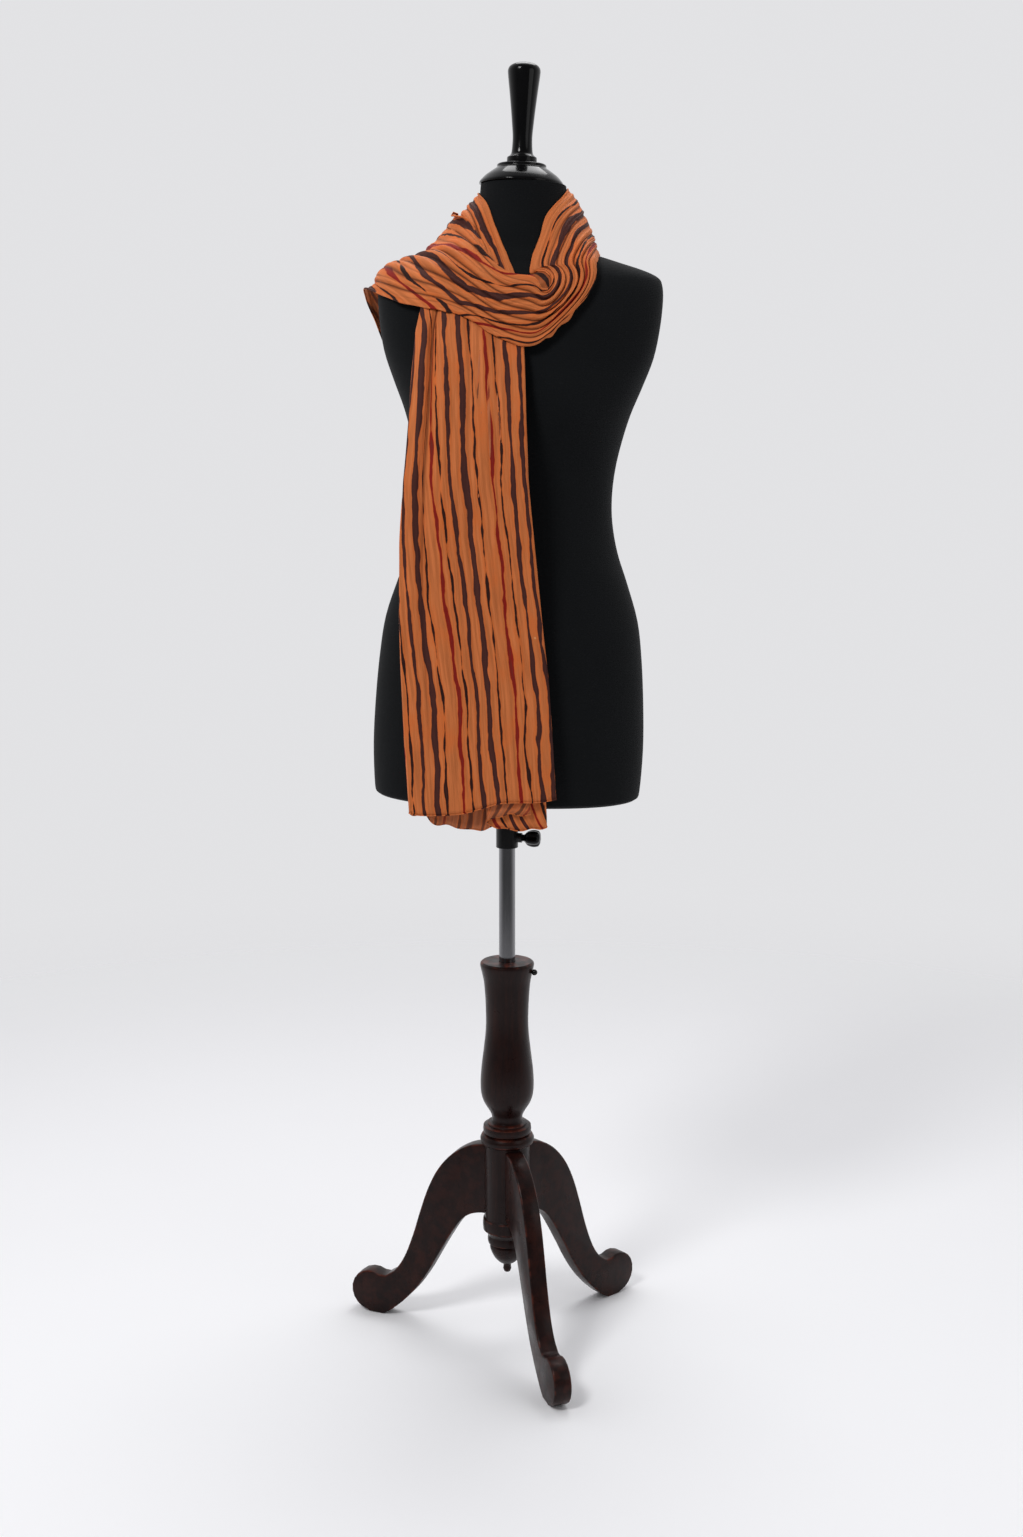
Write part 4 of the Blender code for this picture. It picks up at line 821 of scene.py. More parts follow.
def wave(tree, vector, scale, direction, distortion):
    inputs = {"Vector": vector, "Scale": scale, "Distortion": distortion}
    return add_node(tree, "TexWave", inputs, bands_direction=direction).outputs["Fac"]


def attribute(tree, name):
    return add_node(tree, "Attribute", attribute_name=name).outputs["Fac"]


def swung(tree, value, middle, amount, start=0.0):
    """A start moved by how far a value is from its middle."""
    return math_node(tree, "MULTIPLY_ADD", math_node(tree, "SUBTRACT", value, middle), amount, start)


def relief(tree, shader, height, strength, distance):
    """Gives a material's surface a fine relief."""
    bump = add_node(tree, "Bump", {"Strength": strength, "Distance": distance, "Height": height})
    tree.links.new(bump.outputs["Normal"], shader.inputs["Normal"])


def scaled(colour, lifts):
    """A colour with its parts multiplied, all by one number or each by its own."""
    return tuple(np.multiply(colour, lifts))


def stretched(tree, vector, scale):
    """A vector with each of its parts scaled, to draw a pattern out along one of them."""
    return add_node(tree, "Mapping", {"Vector": vector, "Scale": scale}).outputs["Vector"]


def mixed(tree, share, one, other):
    """A colour between two others. Each is a colour or a socket."""
    node = tree.nodes.new("ShaderNodeMix")
    node.data_type = "RGBA"
    for socket, value in ((node.inputs[0], share), (node.inputs[6], one), (node.inputs[7], other)):
        if isinstance(value, bpy.types.NodeSocket):
            tree.links.new(value, socket)
        elif isinstance(value, (int, float)):
            socket.default_value = value
        else:
            socket.default_value = (*tuple(value)[:3], 1.0)
    return node.outputs[2]


def ranged(tree, value, low, high, to_low=0.0, to_high=1.0):
    """A value carried softly from one range to another."""
    inputs = {"Value": value, "From Min": low, "From Max": high, "To Min": to_low, "To Max": to_high}
    return add_node(tree, "MapRange", inputs, interpolation_type="SMOOTHSTEP").outputs["Result"]


def stripe_ramps(tree, place, colours):
    """Two ramps over one period of the cut: distance inside the nearest stripe's edge, and its colour."""
    period = STRIPE_PERIOD * 1000.0
    centres = [centre for centre, _, _ in STRIPES]
    halves = [0.5 * width for _, width, _ in STRIPES]
    reach = STRIPE_REACH * 1000.0
    depth = add_node(tree, "ValToRGB", {0: place})
    colour = add_node(tree, "ValToRGB", {0: place})
    depth.color_ramp.interpolation = "LINEAR"
    colour.color_ramp.interpolation = "CONSTANT"
    stops = [(centre / period, 0.5 + half / reach) for centre, half in zip(centres, halves)]
    bounds = [0.0]
    for k in range(1, len(STRIPES)):
        middle = 0.5 * (centres[k - 1] + centres[k] + halves[k - 1] - halves[k])
        bounds.append(middle / period)
        stops.append((middle / period, 0.5 + (halves[k] - (centres[k] - middle)) / reach))
    start = 0.5 + (halves[0] - centres[0]) / reach
    end = 0.5 + (halves[-1] - (period - centres[-1])) / reach
    stops += [(0.0, start), (1.0, end)]
    for ramp, rows in (
        (depth, [(at, (v, v, v, 1.0)) for at, v in sorted(stops)]),
        (colour, [(at, (*colours[row[2]], 1.0)) for at, row in zip(bounds, STRIPES)]),
    ):
        elements = ramp.color_ramp.elements
        for element, (at, value) in zip(elements, (rows[0], rows[-1])):
            element.position = at
            element.color = value
        for at, value in rows[1:-1]:
            elements.new(at).color = value
    return depth.outputs["Color"], colour.outputs["Color"]


def stripe_places(tree, lay, cut, look):
    """How far inside a stripe's edge each place on the cut lies, and the stripe's colour."""
    place = add_node(tree, "SeparateXYZ", {0: lay}).outputs["Y"]
    place = swung(tree, cut["slow"], 0.5, 2.0 * look.wander, place)
    place = swung(tree, cut["sway"], 0.5, 2.0 * SWAY_SHARE * look.wander, place)
    place = math_node(tree, "FRACT", math_node(tree, "DIVIDE", place, STRIPE_PERIOD))
    depth, colour = stripe_ramps(tree, place, {"plum": look.plum, "black": look.black, "red": look.red})
    inside = math_node(tree, "MULTIPLY", math_node(tree, "SUBTRACT", depth, 0.5), STRIPE_REACH)
    inside = swung(tree, cut["wide"], 0.48, 2.0 * look.swell, inside)
    return swung(tree, cut["quick"], 0.5, STRIPE_FRAY, inside), colour


def ground_tone(tree, cut, look, ground):
    """The ground's colour, in long soft streaks of clearer and duller orange."""
    pale = tuple(min(1.0, 1.15 * c + 0.006) for c in ground)
    tone = mixed(tree, ranged(tree, cut["streaks"], 0.36, 0.66), scaled(ground, 0.78), pale)
    tone = mixed(tree, ranged(tree, cut["cloud"], 0.40, 0.75, 0.15, 0.75), tone, ground)
    tone = mixed(tree, ranged(tree, cut["cloud"], 0.52, 0.72, 0.0, 0.55), tone, look.bright)
    return mixed(tree, ranged(tree, cut["threads"], 0.35, 0.70, 0.0, 0.16), tone, pale)


def dye_tone(tree, cut, look, inside, colour, faded, ground):
    """The stripes' colour, a little paler where the dye ran dry and in the middle of the wide ones."""
    dry = ranged(tree, cut["quick"], 0.50, 0.78, 0.0, 0.20)
    dye = mixed(tree, dry, colour, scaled(look.plum, DRY_DYE))
    dye = mixed(tree, faded, dye, ground)
    return mixed(tree, ranged(tree, inside, *STRIPE_CORE, 0.0, 0.40), dye, scaled(look.plum, CORE_DYE))


def chiffon(name, look, wrong_side=False):
    """Chiffon with hand-drawn stripes that follow the cut, read from the cloth's own UV map in metres."""
    made, tree, shader = new_material(
        name,
        Roughness=0.68,
        Sheen_Weight=0.03,
        Sheen_Roughness=0.45,
        Sheen_Tint=(1.0, 0.62, 0.36, 1.0),
        Specular_IOR_Level=0.16,
    )
    lay = add_node(tree, "UVMap", uv_map="lay").outputs["UV"]
    cut = {
        key: noise(tree, stretched(tree, lay, (along, across, 1.0)), 1.0, detail, roughness)
        for key, (along, across, detail, roughness) in CLOTH_NOISES.items()
    }
    ground = look.wrong_side if wrong_side else look.ground
    faded = 0.35 if wrong_side else 0.0
    inside, colour = stripe_places(tree, lay, cut, look)
    halo = math_node(tree, "MULTIPLY", ranged(tree, inside, *STRIPE_HALO), 0.45)
    tone = mixed(tree, halo, ground_tone(tree, cut, look, ground), look.bright)
    dye = dye_tone(tree, cut, look, inside, colour, faded, ground)
    painted = mixed(tree, ranged(tree, inside, *STRIPE_EDGE), tone, dye)
    # Slubs: a few small pale knots
    knots = add_node(tree, "TexVoronoi", {"Vector": lay, "Scale": KNOT_SCALE}).outputs["Distance"]
    knot = math_node(tree, "MULTIPLY", ranged(tree, knots, *KNOT_SIZE, 1.0, 0.0), 0.65)
    painted = mixed(tree, knot, painted, linear(232, 178, 120))
    # Painted shade: the cloth darker at the foot of its creases, as in the photo's soft light
    shade = math_node(tree, "MULTIPLY", attribute(tree, "crease_shade"), 0.88)
    painted = mixed(tree, shade, painted, linear(40, 13, 9))
    tree.links.new(painted, shader.inputs["Base Color"])
    weft, warp = (wave(tree, lay, WEAVE_SCALE, direction, 0.6) for direction in "XY")
    height = math_node(tree, "MULTIPLY_ADD", math_node(tree, "ADD", weft, warp), 0.05, cut["crinkle"])
    relief(tree, shader, height, look.crinkle, 0.0012)
    made.diffuse_color = (*look.ground, 1.0)
    return made


def jersey(name, look):
    """Matt stretch jersey: fine knitted wales that run up the torso, with a little lint."""
    made, tree, shader = new_material(
        name, Roughness=0.92, Sheen_Weight=0.03, Sheen_Roughness=0.5, Specular_IOR_Level=0.12
    )
    place = add_node(tree, "TexCoord").outputs["Object"]
    cloud = noise(tree, place, 9.0, 3.0)
    lint = noise(tree, place, 900.0, 2.0)
    tone = mixed(tree, ranged(tree, cloud, 0.3, 0.7), scaled(look.jersey, 0.82), look.jersey)
    tone = mixed(tree, ranged(tree, lint, 0.66, 0.80, 0.0, 0.35), tone, linear(64, 66, 70))
    tree.links.new(tone, shader.inputs["Base Color"])
    wales = wave(tree, place, 190.0, "X", 0.4)
    courses = wave(tree, place, 150.0, "Z", 0.4)
    knit = math_node(tree, "MULTIPLY", wales, courses)
    relief(tree, shader, math_node(tree, "MULTIPLY_ADD", lint, 0.6, knit), 0.30, 0.0006)
    return made


def lacquered_wood(name, look):
    """Dark stained wood under satin lacquer, rubbed to red-brown on its edges."""
    made, tree, shader = new_material(
        name, Coat_Weight=0.05, Coat_Roughness=0.20, Specular_IOR_Level=0.13
    )
    place = add_node(tree, "TexCoord").outputs["Object"]
    drawn = stretched(tree, place, WOODS[name])
    grain = noise(tree, drawn, 1.0, 6.0, 0.65)
    pores = noise(tree, drawn, 4.5, 2.0, 0.5)
    cloud = noise(tree, place, 26.0, 3.0)
    tone = mixed(tree, ranged(tree, grain, 0.38, 0.72), look.stain, look.grain)
    tone = mixed(tree, ranged(tree, cloud, 0.35, 0.75, 0.0, 0.45), tone, look.stain)
    tone = mixed(tree, ranged(tree, pores, 0.60, 0.74, 0.0, 0.6), tone, scaled(look.stain, 0.4))
    patches = ranged(tree, noise(tree, place, 70.0, 3.0), 0.40, 0.62)
    rubbed = math_node(tree, "MULTIPLY", attribute(tree, "wear"), patches)
    tone = mixed(tree, math_node(tree, "MULTIPLY", rubbed, 0.85), tone, look.worn)
    tree.links.new(tone, shader.inputs["Base Color"])
    rough = ranged(tree, noise(tree, place, 40.0, 4.0), 0.3, 0.7, 0.26, 0.42)
    tree.links.new(rough, shader.inputs["Roughness"])
    relief(tree, shader, pores, 0.18, 0.0006)
    return made


def smooth_finish(name, colour):
    """Lacquer, moulding or metal: one colour, faintly clouded, with fine marks in its gloss."""
    rough_low, rough_high, metallic, scratch, coat = FINISHES[name]
    made, tree, shader = new_material(
        name, Metallic=metallic, Coat_Weight=coat, Coat_Roughness=0.06, Specular_IOR_Level=0.15
    )
    place = add_node(tree, "TexCoord").outputs["Object"]
    cloud = noise(tree, place, 30.0, 3.0)
    marks = noise(tree, stretched(tree, place, scratch), 1.0, 4.0, 0.6)
    rubbed = tuple(min(1.0, 2.2 * c + 0.01) for c in colour)
    tone = mixed(tree, ranged(tree, cloud, 0.3, 0.7), scaled(colour, 0.85), colour)
    tone = mixed(tree, math_node(tree, "MULTIPLY", attribute(tree, "wear"), 0.35), tone, rubbed)
    tree.links.new(tone, shader.inputs["Base Color"])
    tree.links.new(ranged(tree, marks, 0.35, 0.70, rough_low, rough_high), shader.inputs["Roughness"])
    relief(tree, shader, marks, 0.06, 0.0004)
    return made


def shared_material(name, build, *values):
    """The named material, built on its first use."""
    return bpy.data.materials.get(name) or build(name, *values)


# Meshes


def finish_object(name, mesh, body, nodes, materials):
    """Puts a finished mesh into the frame, on its body, in place of its CAD nodes."""
    mesh.transform(Matrix.Translation((*STAND_AXIS, 0.0)))
    for material in materials:
        mesh.materials.append(material)
    made = bpy.data.objects.new(name, mesh)
    bpy.context.scene.collection.objects.link(made)
    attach(made, body)
    if nodes:
        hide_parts(*nodes)
    return made


def mark_wear(bm):
    """Writes how sharp and convex each point's edges are, for the rubbed colour of the finishes."""
    layer = bm.verts.layers.float.new("wear")
    for edge in bm.edges:
        if len(edge.link_faces) == 2:
            turn = math.degrees(edge.calc_face_angle_signed(0.0))
            wear = min(max((turn - WEAR_FROM) / WEAR_OVER, 0.0), 1.0)
            for vert in edge.verts:
                vert[layer] = max(vert[layer], wear)


def add_solid(name, bm, body, nodes, material, bevel=0.0):
    """An object from a closed bmesh, with its edges eased by a small bevel."""
    mark_wear(bm)
    mesh = bpy.data.meshes.new(name)
    bm.to_mesh(mesh)
    bm.free()
    mesh.shade_smooth()
    made = finish_object(name, mesh, body, nodes, [material])
    if bevel:
        eased = made.modifiers.new("eased_edges", "BEVEL")
        eased.width = bevel
        eased.segments = 2
        eased.limit_method = "ANGLE"
        eased.angle_limit = BEVEL_FROM
        eased.use_clamp_overlap = True
        eased.harden_normals = True
    return made


def fine_profile(profile, steps=PROFILE_STEPS):
    """A turned profile with smooth curves between its sharp corners."""
    points = np.array(profile, float)
    ways = unit(np.diff(points, axis=0))
    turns = np.arccos(np.clip(np.sum(ways[1:] * ways[:-1], axis=1), -1.0, 1.0))
    corners = [0] + [k + 1 for k, turn in enumerate(turns) if turn > PROFILE_CORNER] + [len(points) - 1]
    runs = [points[:1]]
    for first, last in zip(corners, corners[1:]):
        run = points[first : last + 1]
        runs.append((smooth_curve(run, steps) if len(run) > 2 else run)[1:])
    joined = np.vstack(runs)
    joined[:, 0] = np.maximum(joined[:, 0], 0.0)
    return [tuple(point) for point in joined]


def points_of(mesh):
    flat = np.empty(3 * len(mesh.vertices))
    mesh.vertices.foreach_get("co", flat)
    return flat.reshape(-1, 3)


def grid_mesh(name, grid, loop=False):
    """A sheet through a grid of points, facing out, and the row and column of each of its vertices. A loop
    is joined along its length and closed at both ends."""
    rows, columns = grid.shape[:2]
    bm = bmesh.new()
    bmesh.ops.create_grid(bm, x_segments=columns - 1, y_segments=rows - 1, size=0.5)
    bmesh.ops.reverse_faces(bm, faces=bm.faces)
    mesh = bpy.data.meshes.new(name)
    bm.to_mesh(mesh)
    flat = points_of(mesh)
    i = np.rint((flat[:, 1] + 0.5) * (rows - 1)).astype(int)
    j = np.rint((flat[:, 0] + 0.5) * (columns - 1)).astype(int)
    mesh.vertices.foreach_set("co", grid[i, j].ravel())
    mesh.update()
    if loop:
        bm.clear()
        bm.from_mesh(mesh)
        bmesh.ops.remove_doubles(bm, verts=bm.verts, dist=SAME_POINT)
        bmesh.ops.holes_fill(bm, edges=[e for e in bm.edges if e.is_boundary], sides=0)
        bmesh.ops.recalc_face_normals(bm, faces=bm.faces)
        bm.to_mesh(mesh)
    bm.free()
    mesh.shade_smooth()
    return mesh, i, j


def write_lay(mesh, spots):
    """Writes the place on the cut of each of the mesh's points to its UV map, in metres."""
    corners = np.empty(len(mesh.loops), int)
    mesh.loops.foreach_get("vertex_index", corners)
    mesh.uv_layers.new(name="lay").data.foreach_set("uv", spots[corners].ravel())


def add_sheet(name, grid, lay, crease_shade, nodes, materials):
    """A thin shell of chiffon with its lay across the cut as a UV map, and the painted shade of its creases
    as an attribute.
    """
    mesh, i, j = grid_mesh(name, grid)
    write_lay(mesh, lay[i, j])
    mesh.attributes.new("crease_shade", "FLOAT", "POINT").data.foreach_set("value", crease_shade[i, j].ravel())
    made = finish_object(name, mesh, "figure", nodes, materials)
    shell = made.modifiers.new("shell", "SOLIDIFY")
    shell.thickness = CHIFFON
    shell.offset = -1.0
    shell.material_offset = 1
    shell.material_offset_rim = 0
    return made


def add_hem(name, path, normals, lay, material):
    """A narrow rolled hem along a row of the cloth, dimpled at its stitches."""
    length = distances(path)
    spots = np.linspace(0.0, length[-1], int(length[-1] / (HEM_STITCH / HEM_SPOTS)))
    line = at_spots(spots, length, path)
    out = unit(at_spots(spots, length, normals))
    side = unit(np.cross(at_spots(spots, length, unit(np.gradient(path, axis=0))), out))
    dimpled = np.cos(2.0 * math.pi * spots / HEM_STITCH) > HEM_DIMPLE_FROM
    radius = (HEM_RADIUS * (1.0 - HEM_DIMPLE * dimpled))[:, None]
    turns = np.linspace(0.0, 2.0 * math.pi, HEM_SIDES + 1)
    grid = np.stack([line + radius * (math.cos(t) * out + math.sin(t) * side) for t in turns], axis=1)
    grid[:, -1] = grid[:, 0]
    mesh = grid_mesh(name, grid, loop=True)[0]
    nearest = [int(np.argmin(np.sum((grid[:, 0] - point) ** 2, axis=1))) for point in points_of(mesh)]
    across = np.interp(spots, length, lay[:, 1])[nearest]
    write_lay(mesh, np.column_stack([np.full(len(nearest), lay[0, 0]), across]))
    return finish_object(name, mesh, "figure", (), [material])


# Stole


def ripples(across, down):
    """Fine gathers of the cloth, as depths in metres at distances across it and down it."""
    total = np.zeros(np.broadcast(across, down).shape)
    mean, swing = RIPPLE_SWELL
    per_run, per_across, per_phase = RIPPLE_SWELL_TURNS
    for length, height, wander, phase in RIPPLES:
        turn = 2.0 * math.pi * down / RIPPLE_RUN
        moved = wander * np.sin(turn + RIPPLE_SHIFT * phase)
        swell = mean + swing * np.sin(per_run * turn + per_across * across + per_phase * phase)
        total += height * swell * (1.0 + np.sin(2.0 * math.pi * (across / length + phase) + moved))
    return total


def rolled(grid):
    """The strip with both its edges turned under on a small radius."""
    normals = outward(grid)
    sides = []
    for edge, inner in ((0, 1), (-1, -2)):
        away = unit(grid[:, edge] - grid[:, inner])
        columns = []
        for turn in np.linspace(0.0, ROLL_TURN, ROLL_STEPS + 1)[1:]:
            under = (1.0 - math.cos(turn)) * normals[:, edge]
            columns.append(grid[:, edge] + ROLL_RADIUS * (math.sin(turn) * away - under))
        sides.append(columns)
    return np.concatenate([np.stack(sides[0][::-1], axis=1), grid, np.stack(sides[1], axis=1)], axis=1)


def padded(values):
    """Values across the strip, repeated for the columns that its turned edges add."""
    return np.pad(values, ((0, 0), (ROLL_STEPS, ROLL_STEPS)) + ((0, 0),) * (values.ndim - 2), mode="edge")


def strip_lay(strip, places, shares):
    """Place of each point on the cut: metres along it, and metres across it from its edge."""
    along_cloth = distances(strip[:, strip.shape[1] // 2])
    rows = np.array(LAY, float)
    marks = at_spots(places, rows[:, 0], rows[:, 1:])
    across = np.array([np.interp(shares, LAY_SHARES, mark) for mark in marks]) * 0.001
    return np.stack([np.repeat(along_cloth[:, None], len(shares), axis=1), across], axis=2)


def stole_surfaces(places):
    """The wrapped strip and the front fall, each as points, lay on the cut and painted crease shade."""
    torso = BVHTree.FromBMesh(torso_form())
    shares = np.linspace(0.0, 1.0, WRAP_COLUMNS)
    strip = strip_base(torso, places, shares)
    for _ in range(WRAP_EASE_ROUNDS):
        strip[1:-1, 1:-1] += STOLE_EASE * (strip[:-2, 1:-1] + strip[2:, 1:-1] - 2.0 * strip[1:-1, 1:-1])
    drops = np.array([crease_drop(shares, place) for place in places])
    # Painted shade at the foot of the creases, fading out towards the edges
    crease_shade = np.array([main_crease_shade(shares, place) for place in places])
    drops *= np.interp(places, GAIN_PLACES, GAINS)[:, None]
    lay = strip_lay(strip, places, shares)
    edges = np.clip(np.minimum(shares, 1.0 - shares) / EDGE_SHARE, 0.0, 1.0)[None, :]
    fine, fine_crease_shade = fine_creases(shares[None, :], places[:, None])
    crease_shade = np.maximum(crease_shade, fine_crease_shade) * np.clip(2.0 * edges - 0.6, 0.0, 1.0)
    drops = drops + (fine + ripples(shares[None, :] * RIPPLE_ACROSS, lay[:, :, 0])) * edges
    room = np.array([[lift_of(torso, point)[0] for point in row] for row in strip]) - CREASE_ROOM
    drops = np.minimum(drops, np.maximum(room, 0.0))
    creased = strip - outward(strip) * drops[:, :, None]
    layers = smooth_curve(FALL_LAYERS, FALL_STEPS)
    fall = gathered(fall_points(creased[0], shares, *layers.T), layers[:, 0])
    under = places <= STRETCHES["stole_neck_back"][1]
    over = (places >= STRETCHES["stole_swath"][0]) & (places <= STRETCHES["stole_shoulder"][1])
    front = slice(0, FALL_STEPS * FALL_FRONT_ROWS)
    cloth = grid_tree(creased[under], fall[:, front])
    strip[over] = lay_over_cloth(cloth, strip[over], drops[over])
    strip -= outward(strip) * drops[:, :, None]
    strip[under] = creased[under]
    ruffle(strip, places, shares)
    return (strip, lay, crease_shade), (fall, *fall_marks(fall, layers[:, 0]))


def gathered(fall, shares):
    """The front fall with its fine gathers, the faint level crease of its folding for storage, and the
    curled hems of its under layers."""
    down = np.linspace(1.0, 0.0, len(fall))[:, None]
    fade = np.clip(4.0 * down * (1.0 - down), 0.0, 1.0) ** 0.5
    depth = FALL_RIPPLE * ripples(shares[None, :] * FALL_ACROSS, FALL_RUN * down) * fade
    depth = depth + STORAGE_DEPTH * nearness(fall[:, :, 2], STORAGE_CREASE, STORAGE_HALF) ** 1.5
    made = fall - outward(fall) * depth[:, :, None]
    turn = 2.0 * math.pi * distances(fall[0]) / CURL_LENGTH
    under = np.arange(len(shares)) >= FALL_STEPS * FALL_FRONT_ROWS
    loose = under * nearness(down, 1.0, CURL_REACH) ** 1.5
    made[:, :, 1] += CURL_DEPTH * loose * np.sin(turn)
    made[:, :, 2] += CURL_RISE * loose * np.sin(CURL_BEAT * turn)
    return made


def main_crease_shade(shares, place):
    """Painted shade of one section's creases: how deep in a crease each point lies, from 0 on the folds to 1
    at a crease's foot.
    """
    darkness = np.zeros(len(shares))
    opening = (CREASE_PLACES[-2], CREASE_PLACES[-2] + CREASE_OPENING)
    opened = np.interp(place, opening, (1.0, CREASE_SHADE_END))
    for share, steep, gentle, *depths in CREASES:
        near = nearness(shares, share, CREASE_SHADE_WIDTH * np.where(shares < share, steep, gentle))
        deep = min(np.interp(place, CREASE_PLACES, depths) / CREASE_SHADE_DEPTH, 1.0)
        darkness = np.maximum(darkness, opened * deep * near**CREASE_SHADE_SHAPE)
    return darkness


def fine_creases(shares, places):
    """Depths and painted shade lines of the small creases between the main ones, each wandering along the
    strip.
    """
    depth = np.zeros(np.broadcast(shares, places).shape)
    darkness = depth.copy()
    mean, swing = FINE_STRENGTH
    for share, deep, half, phase in FINE_CREASES:
        near = nearness(shares, share + FINE_WANDER * np.sin(FINE_RUN * places + phase), half)
        strength = np.clip(mean + swing * np.sin(FINE_BEAT * places + FINE_SHIFT * phase), 0.0, 1.0)
        depth = np.maximum(depth, deep * strength * near**FINE_SHAPE)
        darkness = np.maximum(darkness, FINE_SHADE * strength * np.clip(2.0 * near - 1.0, 0.0, 1.0))
    return depth, darkness


def ruffle(strip, places, shares):
    """Lets the strip's edge flutter out in a few small ruffles."""
    normals = outward(strip)
    for place, reach, side, out in RUFFLES:
        edge, inner = ((0, 1), (-1, -2))[side]
        away = unit(strip[:, edge] - strip[:, inner])[:, None, :] + RUFFLE_LIFT * normals
        fade = nearness(shares, side, RUFFLE_SHARE) ** 1.5
        rise = softened(nearness(places, place, reach))
        strip += out * rise[:, None, None] * fade[None, :, None] * away


def tuck(strip, places, lay):
    """The cloth that shows inside the small eye where the strip turns, joining its inner edges underneath,
    with painted shade over all of it.
    """
    start, turn, end = TUCK_PLACES
    edge = strip[:, 0] - outward(strip)[:, 0] * TUCK_DEPTH
    one, other = (at_spots(np.linspace(first, turn, TUCK_ROWS), places, edge) for first in (start, end))
    shares = np.linspace(0.0, 1.0, TUCK_COLUMNS)[None, :, None]
    grid = other[:, None, :] * (1.0 - shares) + one[:, None, :] * shares
    spot = lay[int(np.argmin(np.abs(places - turn))), 0]
    steps = np.indices(grid.shape[:2]).transpose(1, 2, 0)
    return grid, spot + TUCK_LAY_STEP * steps, np.full(grid.shape[:2], TUCK_SHADE)


def fall_marks(fall, shares):
    """Lay on the cut and painted shade, by the depth of its soft folds, for the front fall."""
    across = np.array([distances(row) for row in fall])
    down = np.linspace(1.0, 0.0, len(fall))[:, None]
    open_share = np.clip(down / PLEAT_END, 0.0, 1.0)
    hidden = PLEAT_HIDDEN * (1.0 - open_share**2 * (3.0 - 2.0 * open_share))
    beyond = np.clip((shares - PLEAT_SHARE) / PLEAT_WIDTH + 0.5, 0.0, 1.0)
    beyond[np.argmax(shares) :] = 1.0
    across = across + FALL_DRIFT * down + hidden * beyond[None, :]
    along_cloth = fall[:, :, 2] - fall[-1:, :, 2]
    # Painted shade along the dips of the front layer's soft folds
    crease_shade = np.zeros(across.shape)
    front = np.arange(len(shares)) < FALL_STEPS * (FALL_FRONT_ROWS - 1)
    for share, half_width, *rises in FALL_FOLDS:
        near = nearness(shares, share, FALL_SHADE_WIDTH * half_width) * front
        depth = np.clip(-np.interp(down[:, 0], FALL_STATIONS, rises) / FALL_SHADE_DEPTH, 0.0, 1.0)
        crease_shade = np.maximum(crease_shade, depth[:, None] * near[None, :] ** FALL_SHADE_SHAPE)
    return np.stack([along_cloth, across], axis=2), crease_shade


def torso_form():
    """The torso's smooth skin, closed at both ends."""
    levels = smooth_curve(TORSO_LEVELS, TORSO_STEPS)
    grid = np.array([[lean(point)[:] for point in torso_ring(level)] for level in levels])
    grid = np.concatenate([grid, grid[:, :1]], axis=1)
    mesh = grid_mesh("torso_skin", grid[::-1], loop=True)[0]
    bm = bmesh.new()
    bm.from_mesh(mesh)
    bpy.data.meshes.remove(mesh)
    return bm


class STOLE_OT_cloth(bpy.types.Operator):
    """Builds the stole: the wrapped strip, the front fall and their rolled hems"""

    bl_idname = "stole.cloth"
    bl_label = "Stole"

    def execute(self, context):
        look = context.scene.stole_look
        right = shared_material("chiffon_striped", chiffon, look)
        wrong = shared_material("chiffon_wrong_side", chiffon, look, True)
        cloth = [right, wrong]
        places = np.linspace(0.0, STRETCHES["stole_back_fall"][1], WRAP_ROWS)
        (strip, lay, crease_shade), (fall, fall_lay, fall_crease_shade) = stole_surfaces(places)
        inside = add_sheet("stole_tuck", *tuck(strip, places, lay), [], cloth)
        wrap = add_sheet("stole_wrap", rolled(strip), padded(lay), padded(crease_shade), list(STRETCHES), cloth)
        front = add_sheet("stole_front", fall, fall_lay, fall_crease_shade, ["stole_front_fall"], cloth)
        back_hem = add_hem("back_hem", strip[-1], outward(strip)[-1], lay[-1], right)
        front_hem = add_hem("front_hem", fall[0], outward(fall)[0], fall_lay[0], right)
        return {"FINISHED"}


# Form and stand


class STOLE_OT_form(bpy.types.Operator):
    """Builds the dress form: the jersey torso, the turned neck cap and its handle"""

    bl_idname = "stole.form"
    bl_label = "Dress form"

    def execute(self, context):
        look = context.scene.form_look
        cover = shared_material("jersey_black", jersey, look)
        gloss = shared_material("black_lacquer_gloss", smooth_finish, look.lacquer)
        add_solid("torso", torso_form(), "figure", ["form_torso"], cover, TORSO_BEVEL)
        for name, piece, profile in (
            ("neck_cap", "turned_cap", CAP_PROFILE),
            ("cap_handle", "turned_handle", HANDLE_PROFILE),
        ):
            bm = turned(fine_profile(profile), TURNED_FINE)
            for vert in bm.verts:
                vert.co = lean(vert.co + Vector((TORSO_LEAN_X, 0.0, 0.0)))
            add_solid(piece, bm, "figure", [name], gloss, CAP_BEVEL)
        return {"FINISHED"}


def rod(radius, top, bottom, sides):
    """A plain round rod about Z."""
    return turned(((0.0, top), (radius, top), (radius, bottom), (0.0, bottom)), sides)


def along_shank(bm, height, turn):
    """Turns a body made about Z to lie along its shank, at its height on the stand."""
    lay = Matrix.Rotation(turn, 4, "Z") @ Matrix.Rotation(math.radians(90.0), 4, "Y")
    bmesh.ops.transform(bm, matrix=Matrix.Translation((0.0, 0.0, height)) @ lay, verts=bm.verts)
    return bm


def knob_body():
    """The socket's knob, with lobes round its grip."""
    bm = turned(fine_profile(KNOB_PROFILE, KNOB_STEPS), KNOB_SIDES)
    for vert in bm.verts:
        if math.hypot(vert.co.x, vert.co.y) > KNOB_GRIP_FROM:
            grow = 1.0 + KNOB_LOBE_DEPTH * math.cos(KNOB_LOBES * math.atan2(vert.co.y, vert.co.x))
            vert.co.x *= grow
            vert.co.y *= grow
    return along_shank(bm, KNOB_HEIGHT, KNOB_TURN)


